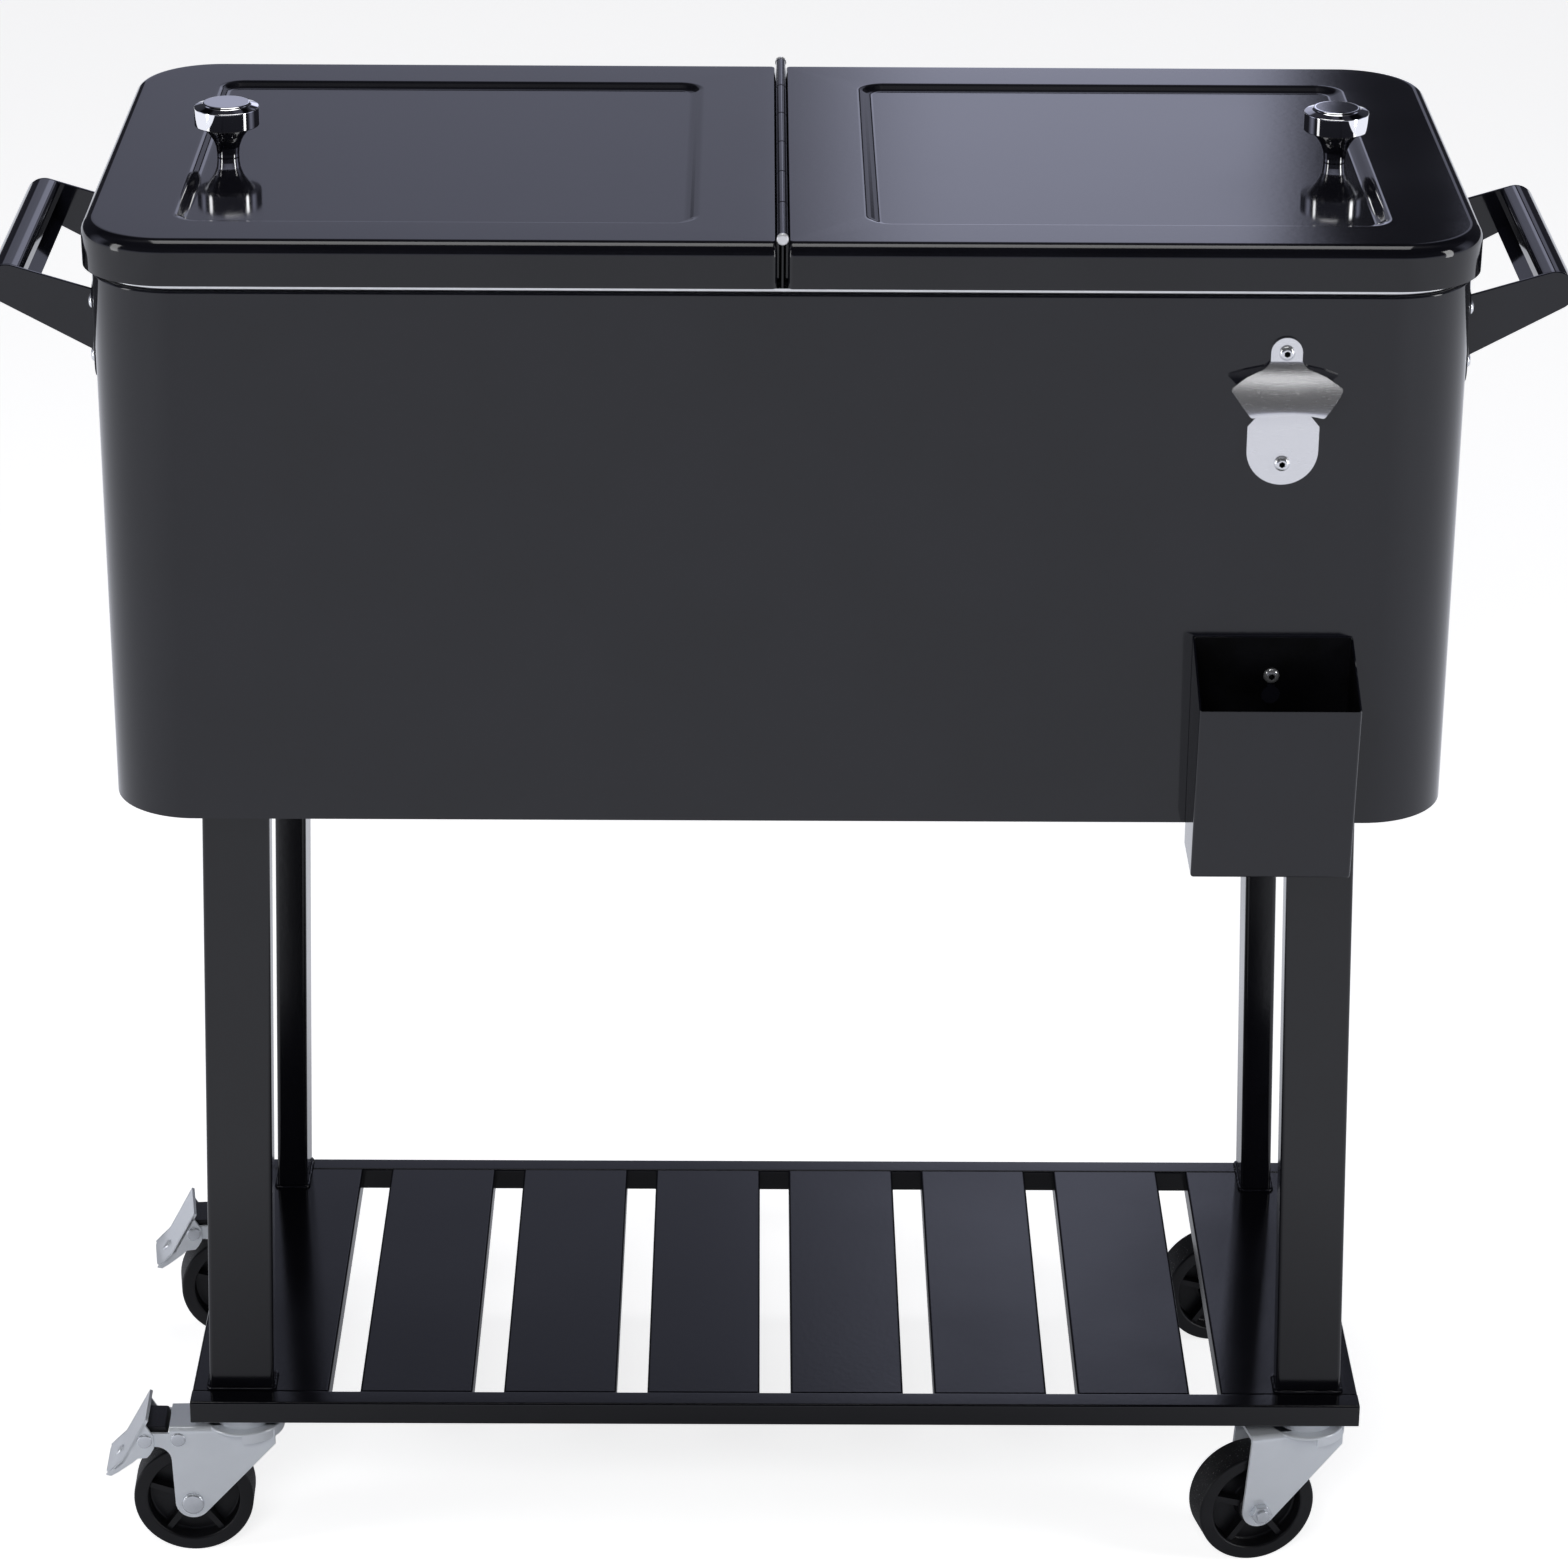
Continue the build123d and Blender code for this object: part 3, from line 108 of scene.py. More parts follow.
def add_ramp(value, stops):
    """A colour ramp over a value in the world's node tree."""
    ramp = world_nodes.new("ShaderNodeValToRGB")
    ramp.color_ramp.interpolation = "EASE"
    while len(ramp.color_ramp.elements) < len(stops):
        ramp.color_ramp.elements.new(0.5)
    for element, (place, colour) in zip(ramp.color_ramp.elements, stops):
        element.position = place
        element.color = (*colour, 1.0)
    world_links.new(value, ramp.inputs["Fac"])
    return ramp.outputs["Color"]


def add_range(value, start, end, low=0.0, high=1.0):
    """Map a value of the world's node tree from one range to another."""
    node = world_nodes.new("ShaderNodeMapRange")
    node.inputs["From Min"].default_value = start
    node.inputs["From Max"].default_value = end
    node.inputs["To Min"].default_value = low
    node.inputs["To Max"].default_value = high
    world_links.new(value, node.inputs["Value"])
    return node.outputs["Result"]


def scale_colour(colour, factor):
    """Scale a colour by a number or by another value of the tree."""
    node = world_nodes.new("ShaderNodeVectorMath")
    node.operation = "SCALE"
    world_links.new(colour, node.inputs[0])
    if isinstance(factor, float):
        node.inputs["Scale"].default_value = factor
    else:
        world_links.new(factor, node.inputs["Scale"])
    return node.outputs["Vector"]


# %% [markdown]
# The room's colour goes by height. Behind the object it is multiplied by a backdrop that goes
# from side to side: it brightens from left to right, ends at a narrow black card, which is the
# dark end of the right lid, and has a dimmer strip after the card. Its far sides are dark.

# %% Room and backdrop
room_stops = [
    (0.0, (0.56, 0.58, 0.74)),
    (0.30, (0.55, 0.57, 0.74)),
    (0.49, (0.42, 0.44, 0.57)),
    (0.57, (0.05, 0.05, 0.065)),
    (0.80, (0.03, 0.03, 0.04)),
    (1.0, (0.25, 0.25, 0.27)),
]
room_colour = add_ramp(direction_parts.outputs["Z"], room_stops)

across_half = 0.3
backdrop_shares = [
    (0.0, 0.03), (0.07, 0.03), (0.12, 0.28), (0.50, 0.38), (0.567, 0.86), (0.66, 0.86),
    (0.693, 0.02), (0.73, 0.02), (0.75, 0.34), (0.88, 0.34), (0.93, 0.03), (1.0, 0.03),
]
backdrop_gain = 1.9
across = add_range(direction_parts.outputs["X"], -across_half, across_half)
backdrop = add_ramp(across, [(place, (share,) * 3) for place, share in backdrop_shares])

backdrop_start, backdrop_full = 0.2, 0.5
behind = add_range(direction_parts.outputs["Y"], backdrop_start, backdrop_full)
shaded = world_nodes.new("ShaderNodeMix")
shaded.data_type = "RGBA"
shaded.blend_type = "MULTIPLY"
world_links.new(behind, shaded.inputs["Factor"])
world_links.new(room_colour, shaded.inputs["A"])
world_links.new(scale_colour(backdrop, backdrop_gain), shaded.inputs["B"])
print("backdrop stops:", len(backdrop_shares))

# %% [markdown]
# The front half of the room is dark above the horizon, which keeps the body's front black. The
# camera itself sees white paper all round.

# %% Dark front half and white paper
dark_front_share = 0.06
front_end, back_start = -0.05, 0.15
above_horizon, at_horizon = 0.10, 0.02
lit = world_nodes.new("ShaderNodeMath")
lit.operation = "MAXIMUM"
world_links.new(add_range(direction_parts.outputs["Y"], front_end, back_start), lit.inputs[0])
world_links.new(add_range(direction_parts.outputs["Z"], above_horizon, at_horizon), lit.inputs[1])
room_left = add_range(lit.outputs[0], 0.0, 1.0, dark_front_share, 1.0)

room_light = world_nodes.new("ShaderNodeBackground")
world_links.new(scale_colour(shaded.outputs["Result"], room_left), room_light.inputs["Color"])
white_paper = world_nodes.new("ShaderNodeBackground")
white_paper.inputs["Color"].default_value = (1.0, 1.0, 1.0, 1.0)
seen_by = world_nodes.new("ShaderNodeLightPath")
choose_paper = world_nodes.new("ShaderNodeMixShader")
world_output = world_nodes.new("ShaderNodeOutputWorld")
world_links.new(seen_by.outputs["Is Camera Ray"], choose_paper.inputs["Fac"])
world_links.new(room_light.outputs[0], choose_paper.inputs[1])
world_links.new(white_paper.outputs[0], choose_paper.inputs[2])
world_links.new(choose_paper.outputs[0], world_output.inputs["Surface"])
print("world stops:", len(room_stops))

# %% [markdown]
# Soft lamps stand left and right of the object and a wide one hangs over it. The side lamps draw
# the long highlights down the body's rounded corners, the top one lights chrome and wheels. The
# front lamp lights zinc and plastic, and is hidden from gloss.


# %% Lamps
def add_lamp(name, place, target, width, height, power):
    """A soft rectangular lamp that faces a target."""
    data = bpy.data.lights.new(name, "AREA")
    data.shape = "RECTANGLE"
    data.size = width
    data.size_y = height
    data.energy = power
    lamp = bpy.data.objects.new(name, data)
    bpy.context.scene.collection.objects.link(lamp)
    lamp.location = place
    lamp.rotation_euler = (Vector(target) - Vector(place)).to_track_quat("-Z", "Y").to_euler()
    return lamp


body_centre = Vector((0, middle_y, 0.6))
add_lamp("lamp_left", (-2.4, -0.9, 1.1), body_centre, 0.45, 1.8, 11)
add_lamp("lamp_right", (2.4, -0.9, 1.1), body_centre, 0.45, 1.8, 15)
add_lamp("lamp_top", (0.0, 0.1, 3.0), body_centre, 1.6, 1.2, 18)
front_lamp = add_lamp("lamp_front", (-0.6, -3.4, 2.6), body_centre, 1.4, 1.0, 42)
front_lamp.visible_glossy = False
print("lamps: 4")

# %% [markdown]
# ## Finishes
#
# Every finish is a Principled shader whose roughness and surface come from noise in object
# coordinates, so a pattern stays on its piece when a lid or a wheel turns.


# %% Material helpers
def new_material(name, colour, roughness, metallic=0.0, ior=1.5):
    """A material with a Principled shader, returned with its node tree's parts."""
    material = bpy.data.materials.new(name)
    material.use_nodes = True
    tree = material.node_tree
    shader = tree.nodes["Principled BSDF"]
    shader.inputs["Base Color"].default_value = (*colour, 1.0)
    shader.inputs["Roughness"].default_value = roughness
    shader.inputs["Metallic"].default_value = metallic
    shader.inputs["IOR"].default_value = ior
    return material, tree, shader


def add_noise(tree, scale, detail=3.0, stretch=(1.0, 1.0, 1.0)):
    """Noise in object coordinates; a stretch below 1 draws the pattern out along that axis."""
    place = tree.nodes.new("ShaderNodeTexCoord")
    mapping = tree.nodes.new("ShaderNodeMapping")
    mapping.inputs["Scale"].default_value = stretch
    texture = tree.nodes.new("ShaderNodeTexNoise")
    texture.inputs["Scale"].default_value = scale
    texture.inputs["Detail"].default_value = detail
    tree.links.new(place.outputs["Object"], mapping.inputs["Vector"])
    tree.links.new(mapping.outputs["Vector"], texture.inputs["Vector"])
    return texture.outputs["Fac"]


def spread(tree, value, low, high, start=0.3, end=0.7):
    """Spread a noise value over a range."""
    node = tree.nodes.new("ShaderNodeMapRange")
    node.inputs["From Min"].default_value = start
    node.inputs["From Max"].default_value = end
    node.inputs["To Min"].default_value = low
    node.inputs["To Max"].default_value = high
    tree.links.new(value, node.inputs["Value"])
    return node.outputs["Result"]


def blend_colours(tree, value, first, second, start=0.35, end=0.65):
    """Two colours mixed by a noise value."""
    ramp = tree.nodes.new("ShaderNodeValToRGB")
    ramp.color_ramp.elements[0].position = start
    ramp.color_ramp.elements[0].color = (*first, 1.0)
    ramp.color_ramp.elements[1].position = end
    ramp.color_ramp.elements[1].color = (*second, 1.0)
    tree.links.new(value, ramp.inputs["Fac"])
    return ramp.outputs["Color"]


def add_bump(tree, shader, value, strength, distance):
    """Raise the surface by a noise value, under any bump that is there already."""
    bump = tree.nodes.new("ShaderNodeBump")
    bump.inputs["Strength"].default_value = strength
    bump.inputs["Distance"].default_value = distance
    tree.links.new(value, bump.inputs["Height"])
    before = shader.inputs["Normal"].links
    if before:
        tree.links.new(before[0].from_socket, bump.inputs["Normal"])
    tree.links.new(bump.outputs["Normal"], shader.inputs["Normal"])


# %% [markdown]
# The paint is a baked gloss enamel. It is almost black, with a very slight orange peel a few
# millimetres wide, and its gloss varies a little where hands and cloths have wiped it.


# %% Gloss black paint
def make_gloss_paint(name, colour, dull, bright, peel):
    material, tree, shader = new_material(name, colour, bright)
    wiped = add_noise(tree, 7.0, 5.0)
    tree.links.new(spread(tree, wiped, bright, dull), shader.inputs["Roughness"])
    cloudy = add_noise(tree, 16.0, 4.0)
    darker = tuple(part * 0.8 for part in colour)
    tree.links.new(blend_colours(tree, cloudy, darker, colour), shader.inputs["Base Color"])
    add_bump(tree, shader, add_noise(tree, 260.0, 2.0), peel, 0.0004)
    return material


body_paint = make_gloss_paint("body_paint", (0.0085, 0.0088, 0.0135), 0.08, 0.05, 0.012)
lid_paint = make_gloss_paint("lid_paint", (0.007, 0.007, 0.010), 0.10, 0.06, 0.02)
cart_paint = make_gloss_paint("cart_paint", (0.005, 0.005, 0.007), 0.18, 0.10, 0.05)
print("paints: 3")

# %% [markdown]
# Chrome, stainless steel and zinc are all bare metal. They differ in how rough they are and in
# which way the roughness runs: chrome is a mirror, the opener is brushed along its width, and
# the zinc plating of the casters is even and slightly blue.


# %% Metals
def make_chrome():
    material, tree, shader = new_material("chrome", (0.92, 0.92, 0.94), 0.05, 1.0)
    tree.links.new(spread(tree, add_noise(tree, 90.0), 0.02, 0.06), shader.inputs["Roughness"])
    add_bump(tree, shader, add_noise(tree, 500.0, 2.0), 0.01, 0.0002)
    return material


def make_brushed_steel(name, colour, rough, stretch, contrast, metallic=1.0):
    material, tree, shader = new_material(name, colour, rough, metallic)
    strokes = add_noise(tree, 2200.0, 4.0, stretch)
    rougher, smoother = rough * (1 + contrast), rough * (1 - contrast)
    tree.links.new(spread(tree, strokes, smoother, rougher), shader.inputs["Roughness"])
    darker = tuple(part * (1 - contrast / 2) for part in colour)
    tree.links.new(blend_colours(tree, strokes, darker, colour), shader.inputs["Base Color"])
    add_bump(tree, shader, strokes, contrast / 5, 0.0001)
    return material


def make_zinc(name, first, second, rough, metallic=1.0):
    material, tree, shader = new_material(name, second, rough, metallic)
    blotches = add_noise(tree, 60.0, 3.0)
    tree.links.new(blend_colours(tree, blotches, first, second), shader.inputs["Base Color"])
    grain = add_noise(tree, 260.0, 3.0)
    tree.links.new(spread(tree, grain, rough * 0.98, rough * 1.02), shader.inputs["Roughness"])
    return material


chrome = make_chrome()
opener_steel = make_brushed_steel(
    "opener_steel", (0.84, 0.84, 0.86), 0.26, (0.06, 1.0, 1.0), 0.06, 0.80
)
trim_steel = make_brushed_steel("trim_steel", (0.78, 0.78, 0.78), 0.22, (0.08, 0.08, 1.0), 0.3)
caster_zinc = make_zinc("caster_zinc", (0.84, 0.88, 0.93), (0.86, 0.90, 0.95), 0.28, 0.3)
bolt_zinc = make_zinc("bolt_zinc", (0.48, 0.48, 0.47), (0.60, 0.60, 0.59), 0.30)
pin_steel = make_zinc("pin_steel", (0.82, 0.82, 0.83), (0.88, 0.88, 0.89), 0.30, 0.5)
screw_steel = make_zinc("screw_steel", (0.74, 0.75, 0.77), (0.84, 0.85, 0.87), 0.18, 0.8)
rivet_steel = make_zinc("rivet_steel", (0.70, 0.73, 0.77), (0.80, 0.83, 0.87), 0.16, 0.7)
print("metals: 8")

# %% [markdown]
# The rest is plastic and rubber: a white tub, black wheels whose tread is gritty from rolling and
# carries pale specks, painted glints of its grit, and a soft gasket.


# %% Plastics and rubber
def make_plastic(name, first, second, rough, grain_scale, grain, ior=1.5):
    material, tree, shader = new_material(name, second, rough, ior=ior)
    clouds = add_noise(tree, 40.0, 4.0)
    tree.links.new(blend_colours(tree, clouds, first, second), shader.inputs["Base Color"])
    fine = add_noise(tree, grain_scale, 3.0)
    tree.links.new(spread(tree, fine, rough * 0.8, rough * 1.2), shader.inputs["Roughness"])
    add_bump(tree, shader, fine, grain, 0.0002)
    return material


def add_specks(material, scale, colour, start, end):
    """Scatter small pale specks over a material, where fine noise is at its highest."""
    tree = material.node_tree
    base = tree.nodes["Principled BSDF"].inputs["Base Color"]
    under = base.links[0].from_socket
    mix = tree.nodes.new("ShaderNodeMix")
    mix.data_type = "RGBA"
    mix.inputs["B"].default_value = (*colour, 1.0)
    specks = spread(tree, add_noise(tree, scale, 2.0), 0.0, 1.0, start, end)
    tree.links.new(specks, mix.inputs["Factor"])
    tree.links.new(under, mix.inputs["A"])
    tree.links.new(mix.outputs["Result"], base)


tub_plastic = make_plastic("tub_plastic", (0.76, 0.77, 0.77), (0.82, 0.83, 0.83), 0.30, 700.0, 0.10)
wheel_plastic = make_plastic(
    "wheel_plastic", (0.006, 0.006, 0.007), (0.010, 0.010, 0.012), 0.38, 900.0, 0.2, 1.42
)
tread_plastic = make_plastic(
    "tread_plastic", (0.005, 0.005, 0.006), (0.016, 0.016, 0.017), 0.55, 1500.0, 0.9
)
# Pale specks on the tread: painted glints where its grit catches the light.
add_specks(tread_plastic, 1100.0, (0.30, 0.30, 0.30), 0.66, 0.70)
# The cap bin's inside is rougher, weaker in its reflections and darker than its outside: the darker colour
# is painted shade inside the bin.
bin_inside_shade = make_plastic(
    "bin_inside_shade", (0.002, 0.002, 0.002), (0.004, 0.004, 0.005), 0.55, 700.0, 0.1, 1.2
)
seal_rubber = make_plastic("seal_rubber", (0.02, 0.02, 0.02), (0.035, 0.035, 0.035), 0.7, 1200.0, 0.4)
drain_plastic = make_plastic(
    "drain_plastic", (0.012, 0.012, 0.012), (0.022, 0.022, 0.022), 0.4, 900.0, 0.2
)
foam_fill = make_plastic("foam_fill", (0.60, 0.52, 0.34), (0.72, 0.64, 0.45), 0.85, 800.0, 0.8)
print("plastics: 7")

# %% [markdown]
# ## Modelling helpers
#
# Almost everything on a cooler is a rounded rectangle, a turned part or a cut plate. The first
# helpers draw rounded loops, join and close them, round edges, and find points on circles.


# %% Loop and edge helpers
corner_steps = 20
small_steps = 4
turn_steps = 48
merge_distance = 0.000002


def rounded_loop(bm, low, high, height, left_radius, right_radius=None, steps=corner_steps):
    """A level loop of edges: a rectangle from corner to corner, rounded in plan."""
    if right_radius is None:
        right_radius = left_radius
    centre = Vector(((low[0] + high[0]) / 2, (low[1] + high[1]) / 2, height))
    size = Matrix.Diagonal((high[0] - low[0], high[1] - low[1], 1, 1))
    before = set(bm.faces)
    made = bmesh.ops.create_grid(
        bm, x_segments=1, y_segments=1, size=0.5, matrix=Matrix.Translation(centre) @ size
    )
    left = [vert for vert in made["verts"] if vert.co.x < centre.x]
    right = [vert for vert in made["verts"] if vert.co.x > centre.x]
    for corners, radius in ((left, left_radius), (right, right_radius)):
        bmesh.ops.bevel(
            bm, geom=corners, offset=radius, offset_type="OFFSET", segments=steps,
            profile=0.5, affect="VERTICES", material=-1,
        )
    face = (set(bm.faces) - before).pop()
    edges = list(face.edges)
    bmesh.ops.delete(bm, geom=[face], context="FACES_ONLY")
    return edges


def grown(low, high, amount):
    """The corners of a rectangle that is grown on every side."""
    return (low[0] - amount, low[1] - amount), (high[0] + amount, high[1] + amount)


def bridge(bm, first, second):
    """Join two loops with a band of faces."""
    bmesh.ops.bridge_loops(bm, edges=first + second)


def fill(bm, edges):
    """Close a loop with one face."""
    return bmesh.ops.contextual_create(bm, geom=edges)["faces"]


def round_edges(bm, edges, radius, steps=small_steps):
    """Round edges with arcs."""
    bmesh.ops.bevel(
        bm, geom=list(edges), offset=radius, offset_type="OFFSET", segments=steps,
        profile=0.5, affect="EDGES", material=-1, clamp_overlap=True,
    )


def sharp_edges(bm, angle=radians(30)):
    """The edges at which two faces meet at more than an angle."""
    return [e for e in bm.edges if len(e.link_faces) == 2 and e.calc_face_angle(0.0) > angle]


def arc_points(centre, radius, first, last, steps):
    """Points along an arc in a plane, from one angle to another."""
    angles = [first + (last - first) * step / steps for step in range(steps + 1)]
    return [(centre[0] + radius * cos(angle), centre[1] + radius * sin(angle)) for angle in angles]


def touch_point(start, centre, radius, side):
    """Where a line from a start touches a circle, on its left (1) or right (-1)."""
    start = Vector(start)
    along = centre - start
    heading = atan2(along.y, along.x) + side * asin(radius / along.length)
    return start + sqrt(along.length**2 - radius**2) * Vector((cos(heading), sin(heading)))


# %% [markdown]
# Three helpers make closed solids: a box, a turned part spun from a profile, and a plate cut
# from an outline.


# %% Solid helpers
def add_block(bm, low, high):
    """A box from corner to corner. Returns its vertices."""
    low, high = Vector(low), Vector(high)
    centre = Matrix.Translation((low + high) / 2)
    size = Matrix.Diagonal((*(high - low), 1))
    return bmesh.ops.create_cube(bm, size=1.0, matrix=centre @ size)["verts"]


def add_turned(bm, profile, place, rounding=0.0, steps=turn_steps, round_steps=small_steps):
    """Spin a profile of (radius, height) points about the Z axis of a place."""
    before = set(bm.verts)
    verts = [bm.verts.new((radius, 0, height)) for radius, height in profile]
    edges = [bm.edges.new(pair) for pair in zip(verts, verts[1:])]
    if rounding > 0:
        bmesh.ops.bevel(
            bm, geom=verts[1:-1], offset=rounding, offset_type="OFFSET", segments=round_steps,
            profile=0.5, affect="VERTICES", material=-1, clamp_overlap=True,
        )
        verts = [v for v in bm.verts if v not in before]
        edges = list({e for v in verts for e in v.link_edges})
    bmesh.ops.spin(
        bm, geom=verts + edges, cent=(0, 0, 0), axis=(0, 0, 1), dvec=(0, 0, 0),
        angle=2 * pi, steps=steps, use_merge=True, use_duplicate=False,
    )
    made = [v for v in bm.verts if v not in before]
    bmesh.ops.remove_doubles(bm, verts=made, dist=merge_distance)
    made = [v for v in bm.verts if v not in before]
    bmesh.ops.transform(bm, matrix=place, verts=made)
    return made


def add_plate(bm, outline, thickness, place, rounding=0.0, rim=0.0):
    """Cut a plate from (x, y) points, round its corners and its rim, and set it in a place."""
    before = set(bm.verts)
    verts = [bm.verts.new((x, y, 0)) for x, y in outline]
    bm.faces.new(verts)
    if rounding > 0:
        bmesh.ops.bevel(
            bm, geom=verts, offset=rounding, offset_type="OFFSET", segments=small_steps * 2,
            profile=0.5, affect="VERTICES", material=-1, clamp_overlap=True,
        )
    flat = [v for v in bm.verts if v not in before]
    face = flat[0].link_faces[0]
    grown_face = bmesh.ops.extrude_face_region(bm, geom=[face], use_keep_orig=True)
    raised = [item for item in grown_face["geom"] if isinstance(item, bmesh.types.BMVert)]
    bmesh.ops.translate(bm, verts=raised, vec=(0, 0, thickness))
    made = [v for v in bm.verts if v not in before]
    if rim > 0:
        around = {e for v in made for e in v.link_edges}
        round_edges(bm, [e for e in sharp_edges(bm, radians(60)) if e in around], rim, 2)
    made = [v for v in bm.verts if v not in before]
    bmesh.ops.transform(bm, matrix=place, verts=made)
    return made


# %% [markdown]
# The last helper hands a finished mesh over as a piece. It is shaded smooth, gets the thickness
# of its sheet and a rounded rim where these are asked for, and rides on its body.


# %% Piece helper and places
def make_piece(
    bm, name, body, material, stands_for=(), sharp=radians(32), wall=0.0, rim=0.0, second=None
):
    """Turn a bmesh into a smooth piece on a body, in place of the nodes that it stands for."""
    bmesh.ops.remove_doubles(bm, verts=bm.verts, dist=merge_distance)
    bmesh.ops.recalc_face_normals(bm, faces=bm.faces)
    mesh = bpy.data.meshes.new(name)
    bm.to_mesh(mesh)
    bm.free()
    for polygon in mesh.polygons:
        polygon.use_smooth = True
    mesh.set_sharp_from_angle(angle=sharp)
    mesh.materials.append(material)
    if second:
        mesh.materials.append(second)
    piece = bpy.data.objects.new(name, mesh)
    bpy.context.scene.collection.objects.link(piece)
    if wall:
        sheet = piece.modifiers.new("sheet", "SOLIDIFY")
        sheet.thickness = abs(wall)
        sheet.offset = -1.0 if wall > 0 else 1.0
        sheet.use_even_offset = True
    if rim:
        rounded = piece.modifiers.new("rim", "BEVEL")
        rounded.width = rim
        rounded.segments = 2
        rounded.limit_method = "ANGLE"
        rounded.angle_limit = radians(50)
    shade = piece.modifiers.new("shade", "WEIGHTED_NORMAL")
    shade.keep_sharp = True
    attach(piece, body)
    if stands_for:
        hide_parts(*stands_for)
    print(name, "faces:", len(mesh.polygons))
    return piece


def at(x=0.0, y=0.0, z=0.0):
    """A place measured from the middle of the body."""
    return Matrix.Translation((x, middle_y + y, z))


face_front = Matrix.Rotation(quarter_turn, 4, "X")
face_back = Matrix.Rotation(quarter_turn, 4, "X") @ Matrix.Rotation(pi, 4, "X")
face_right = Matrix.Rotation(quarter_turn, 4, "Y")
face_left = Matrix.Rotation(-quarter_turn, 4, "Y")
along_x = Matrix(((0, 0, 1, 0), (1, 0, 0, 0), (0, 1, 0, 0), (0, 0, 0, 1)))
along_y = Matrix(((1, 0, 0, 0), (0, 0, 1, 0), (0, 1, 0, 0), (0, 0, 0, 1)))

# %% [markdown]
# ## Body
#
# One sheet is wrapped round the body and hemmed inwards at the top, where the tub's flange lies
# on it. The hem's fold has a small radius, which catches the thin bright line under the lids.

# %% Body shell
body_corner = 0.050
shell_sheet = 0.0012
hem_width = 0.0110
hem_fold = 0.0012

bm = bmesh.new()
low, high = shell_low.xy, shell_high.xy
hem_low, hem_high = grown(low, high, -hem_width)
hem = rounded_loop(bm, hem_low, hem_high, shell_high.z, body_corner - hem_width)
top = rounded_loop(bm, low, high, shell_high.z, body_corner)
bottom = rounded_loop(bm, low, high, shell_low.z, body_corner)
bridge(bm, hem, top)
bridge(bm, top, bottom)
round_edges(bm, top, hem_fold)
body_shell = make_piece(
    bm, "body_shell", "root", body_paint, ["outer_shell"], wall=shell_sheet
)

# %% [markdown]
# The tub is one moulding: a flange, straight walls and a floor that rises into them in a curve.

# %% Tub
tub_low, tub_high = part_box("tub_liner")
tub_wall = 0.0022
insulation = 0.0234
tub_floor_radius = 0.012
opening_radius = body_corner - insulation
flange_setback = 0.003

bm = bmesh.new()
low, high = grown(tub_low.xy, tub_high.xy, -flange_setback)
flange = rounded_loop(bm, low, high, tub_high.z, body_corner - flange_setback)
open_low, open_high = grown(shell_low.xy, shell_high.xy, -insulation)
rim = rounded_loop(bm, open_low, open_high, tub_high.z, opening_radius)
floor_loop = rounded_loop(bm, open_low, open_high, tub_low.z + tub_wall, opening_radius)
bridge(bm, flange, rim)
bridge(bm, rim, floor_loop)
fill(bm, floor_loop)
round_edges(bm, floor_loop, tub_floor_radius, 6)
make_piece(bm, "moulded_tub", "root", tub_plastic, ["tub_liner"], wall=tub_wall)

# %% [markdown]
# ## Lids
#
# Each lid is a pressed skin: a skirt, a rolled edge, a flat border and a sunk panel. The rolled
# edge is a stack of loops, each drawn in a step further. Outside they follow a wide arc, and
# beside the hinge a tight one, so that the two lids meet there almost square. The left lid is
# the right one in a mirror.

# %% Lid skins
lid_low, lid_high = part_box("right_lid_skin")
lid_corner = 0.050
lid_inner_corner = 0.0035
lid_roll = 0.0078
lid_inner_roll = 0.0014
lid_roll_steps = 9
lid_sheet = 0.0012
panel_depth = 0.0030
panel_slope = 0.0055
panel_corner = 0.014
panel_outer_margin = 0.0530
panel_inner_margin = 0.0455
panel_front_margin = 0.0410
panel_back_margin = 0.0450
panel_press_radius = 0.0022


def make_lid_skin(side, name, node, body):
    """Press one lid: side is 1 for the right one and -1 for the left one."""
    bm = bmesh.new()
    low, high = lid_low.xy, lid_high.xy
    loop = rounded_loop(bm, low, high, lid_low.z, lid_inner_corner, lid_corner)
    for step in range(lid_roll_steps + 1):
        angle = quarter_turn * step / lid_roll_steps
        inset, inner_inset = lid_roll * (1 - cos(angle)), lid_inner_roll * (1 - cos(angle))
        height = lid_high.z - lid_roll * (1 - sin(angle))
        ring_low = (low[0] + inner_inset, low[1] + inset)
        ring_high = (high[0] - inset, high[1] - inset)
        ring = rounded_loop(
            bm, ring_low, ring_high, height, lid_inner_corner - inner_inset, lid_corner - inset
        )
        bridge(bm, loop, ring)
        loop = ring
    panel_low = (low[0] + panel_inner_margin, low[1] + panel_front_margin)
    panel_high = (high[0] - panel_outer_margin, high[1] - panel_back_margin)
    border = rounded_loop(bm, panel_low, panel_high, lid_high.z, panel_corner)
    foot_low, foot_high = grown(panel_low, panel_high, -panel_slope)
    foot_height = lid_high.z - panel_depth
    foot = rounded_loop(bm, foot_low, foot_high, foot_height, panel_corner - panel_slope)
    bridge(bm, loop, border)
    bridge(bm, border, foot)
    fill(bm, foot)
    round_edges(bm, foot, panel_press_radius, 3)
    round_edges(bm, border, panel_press_radius, 3)
    bmesh.ops.recalc_face_normals(bm, faces=bm.faces)
    if side < 0:
        bmesh.ops.scale(bm, vec=(-1, 1, 1), verts=bm.verts)
    return make_piece(bm, name, body, lid_paint, [node], wall=lid_sheet)


make_lid_skin(1, "right_lid_pressing", "right_lid_skin", "right_lid")
make_lid_skin(-1, "left_lid_pressing", "left_lid_skin", "left_lid")

# %% [markdown]
# ## Knobs
#
# The knobs are turned and chromed: a narrow waist, a wide disc and a shallow crown. A profile of
# a few points, its corners rounded, spun once round gives the whole knob.

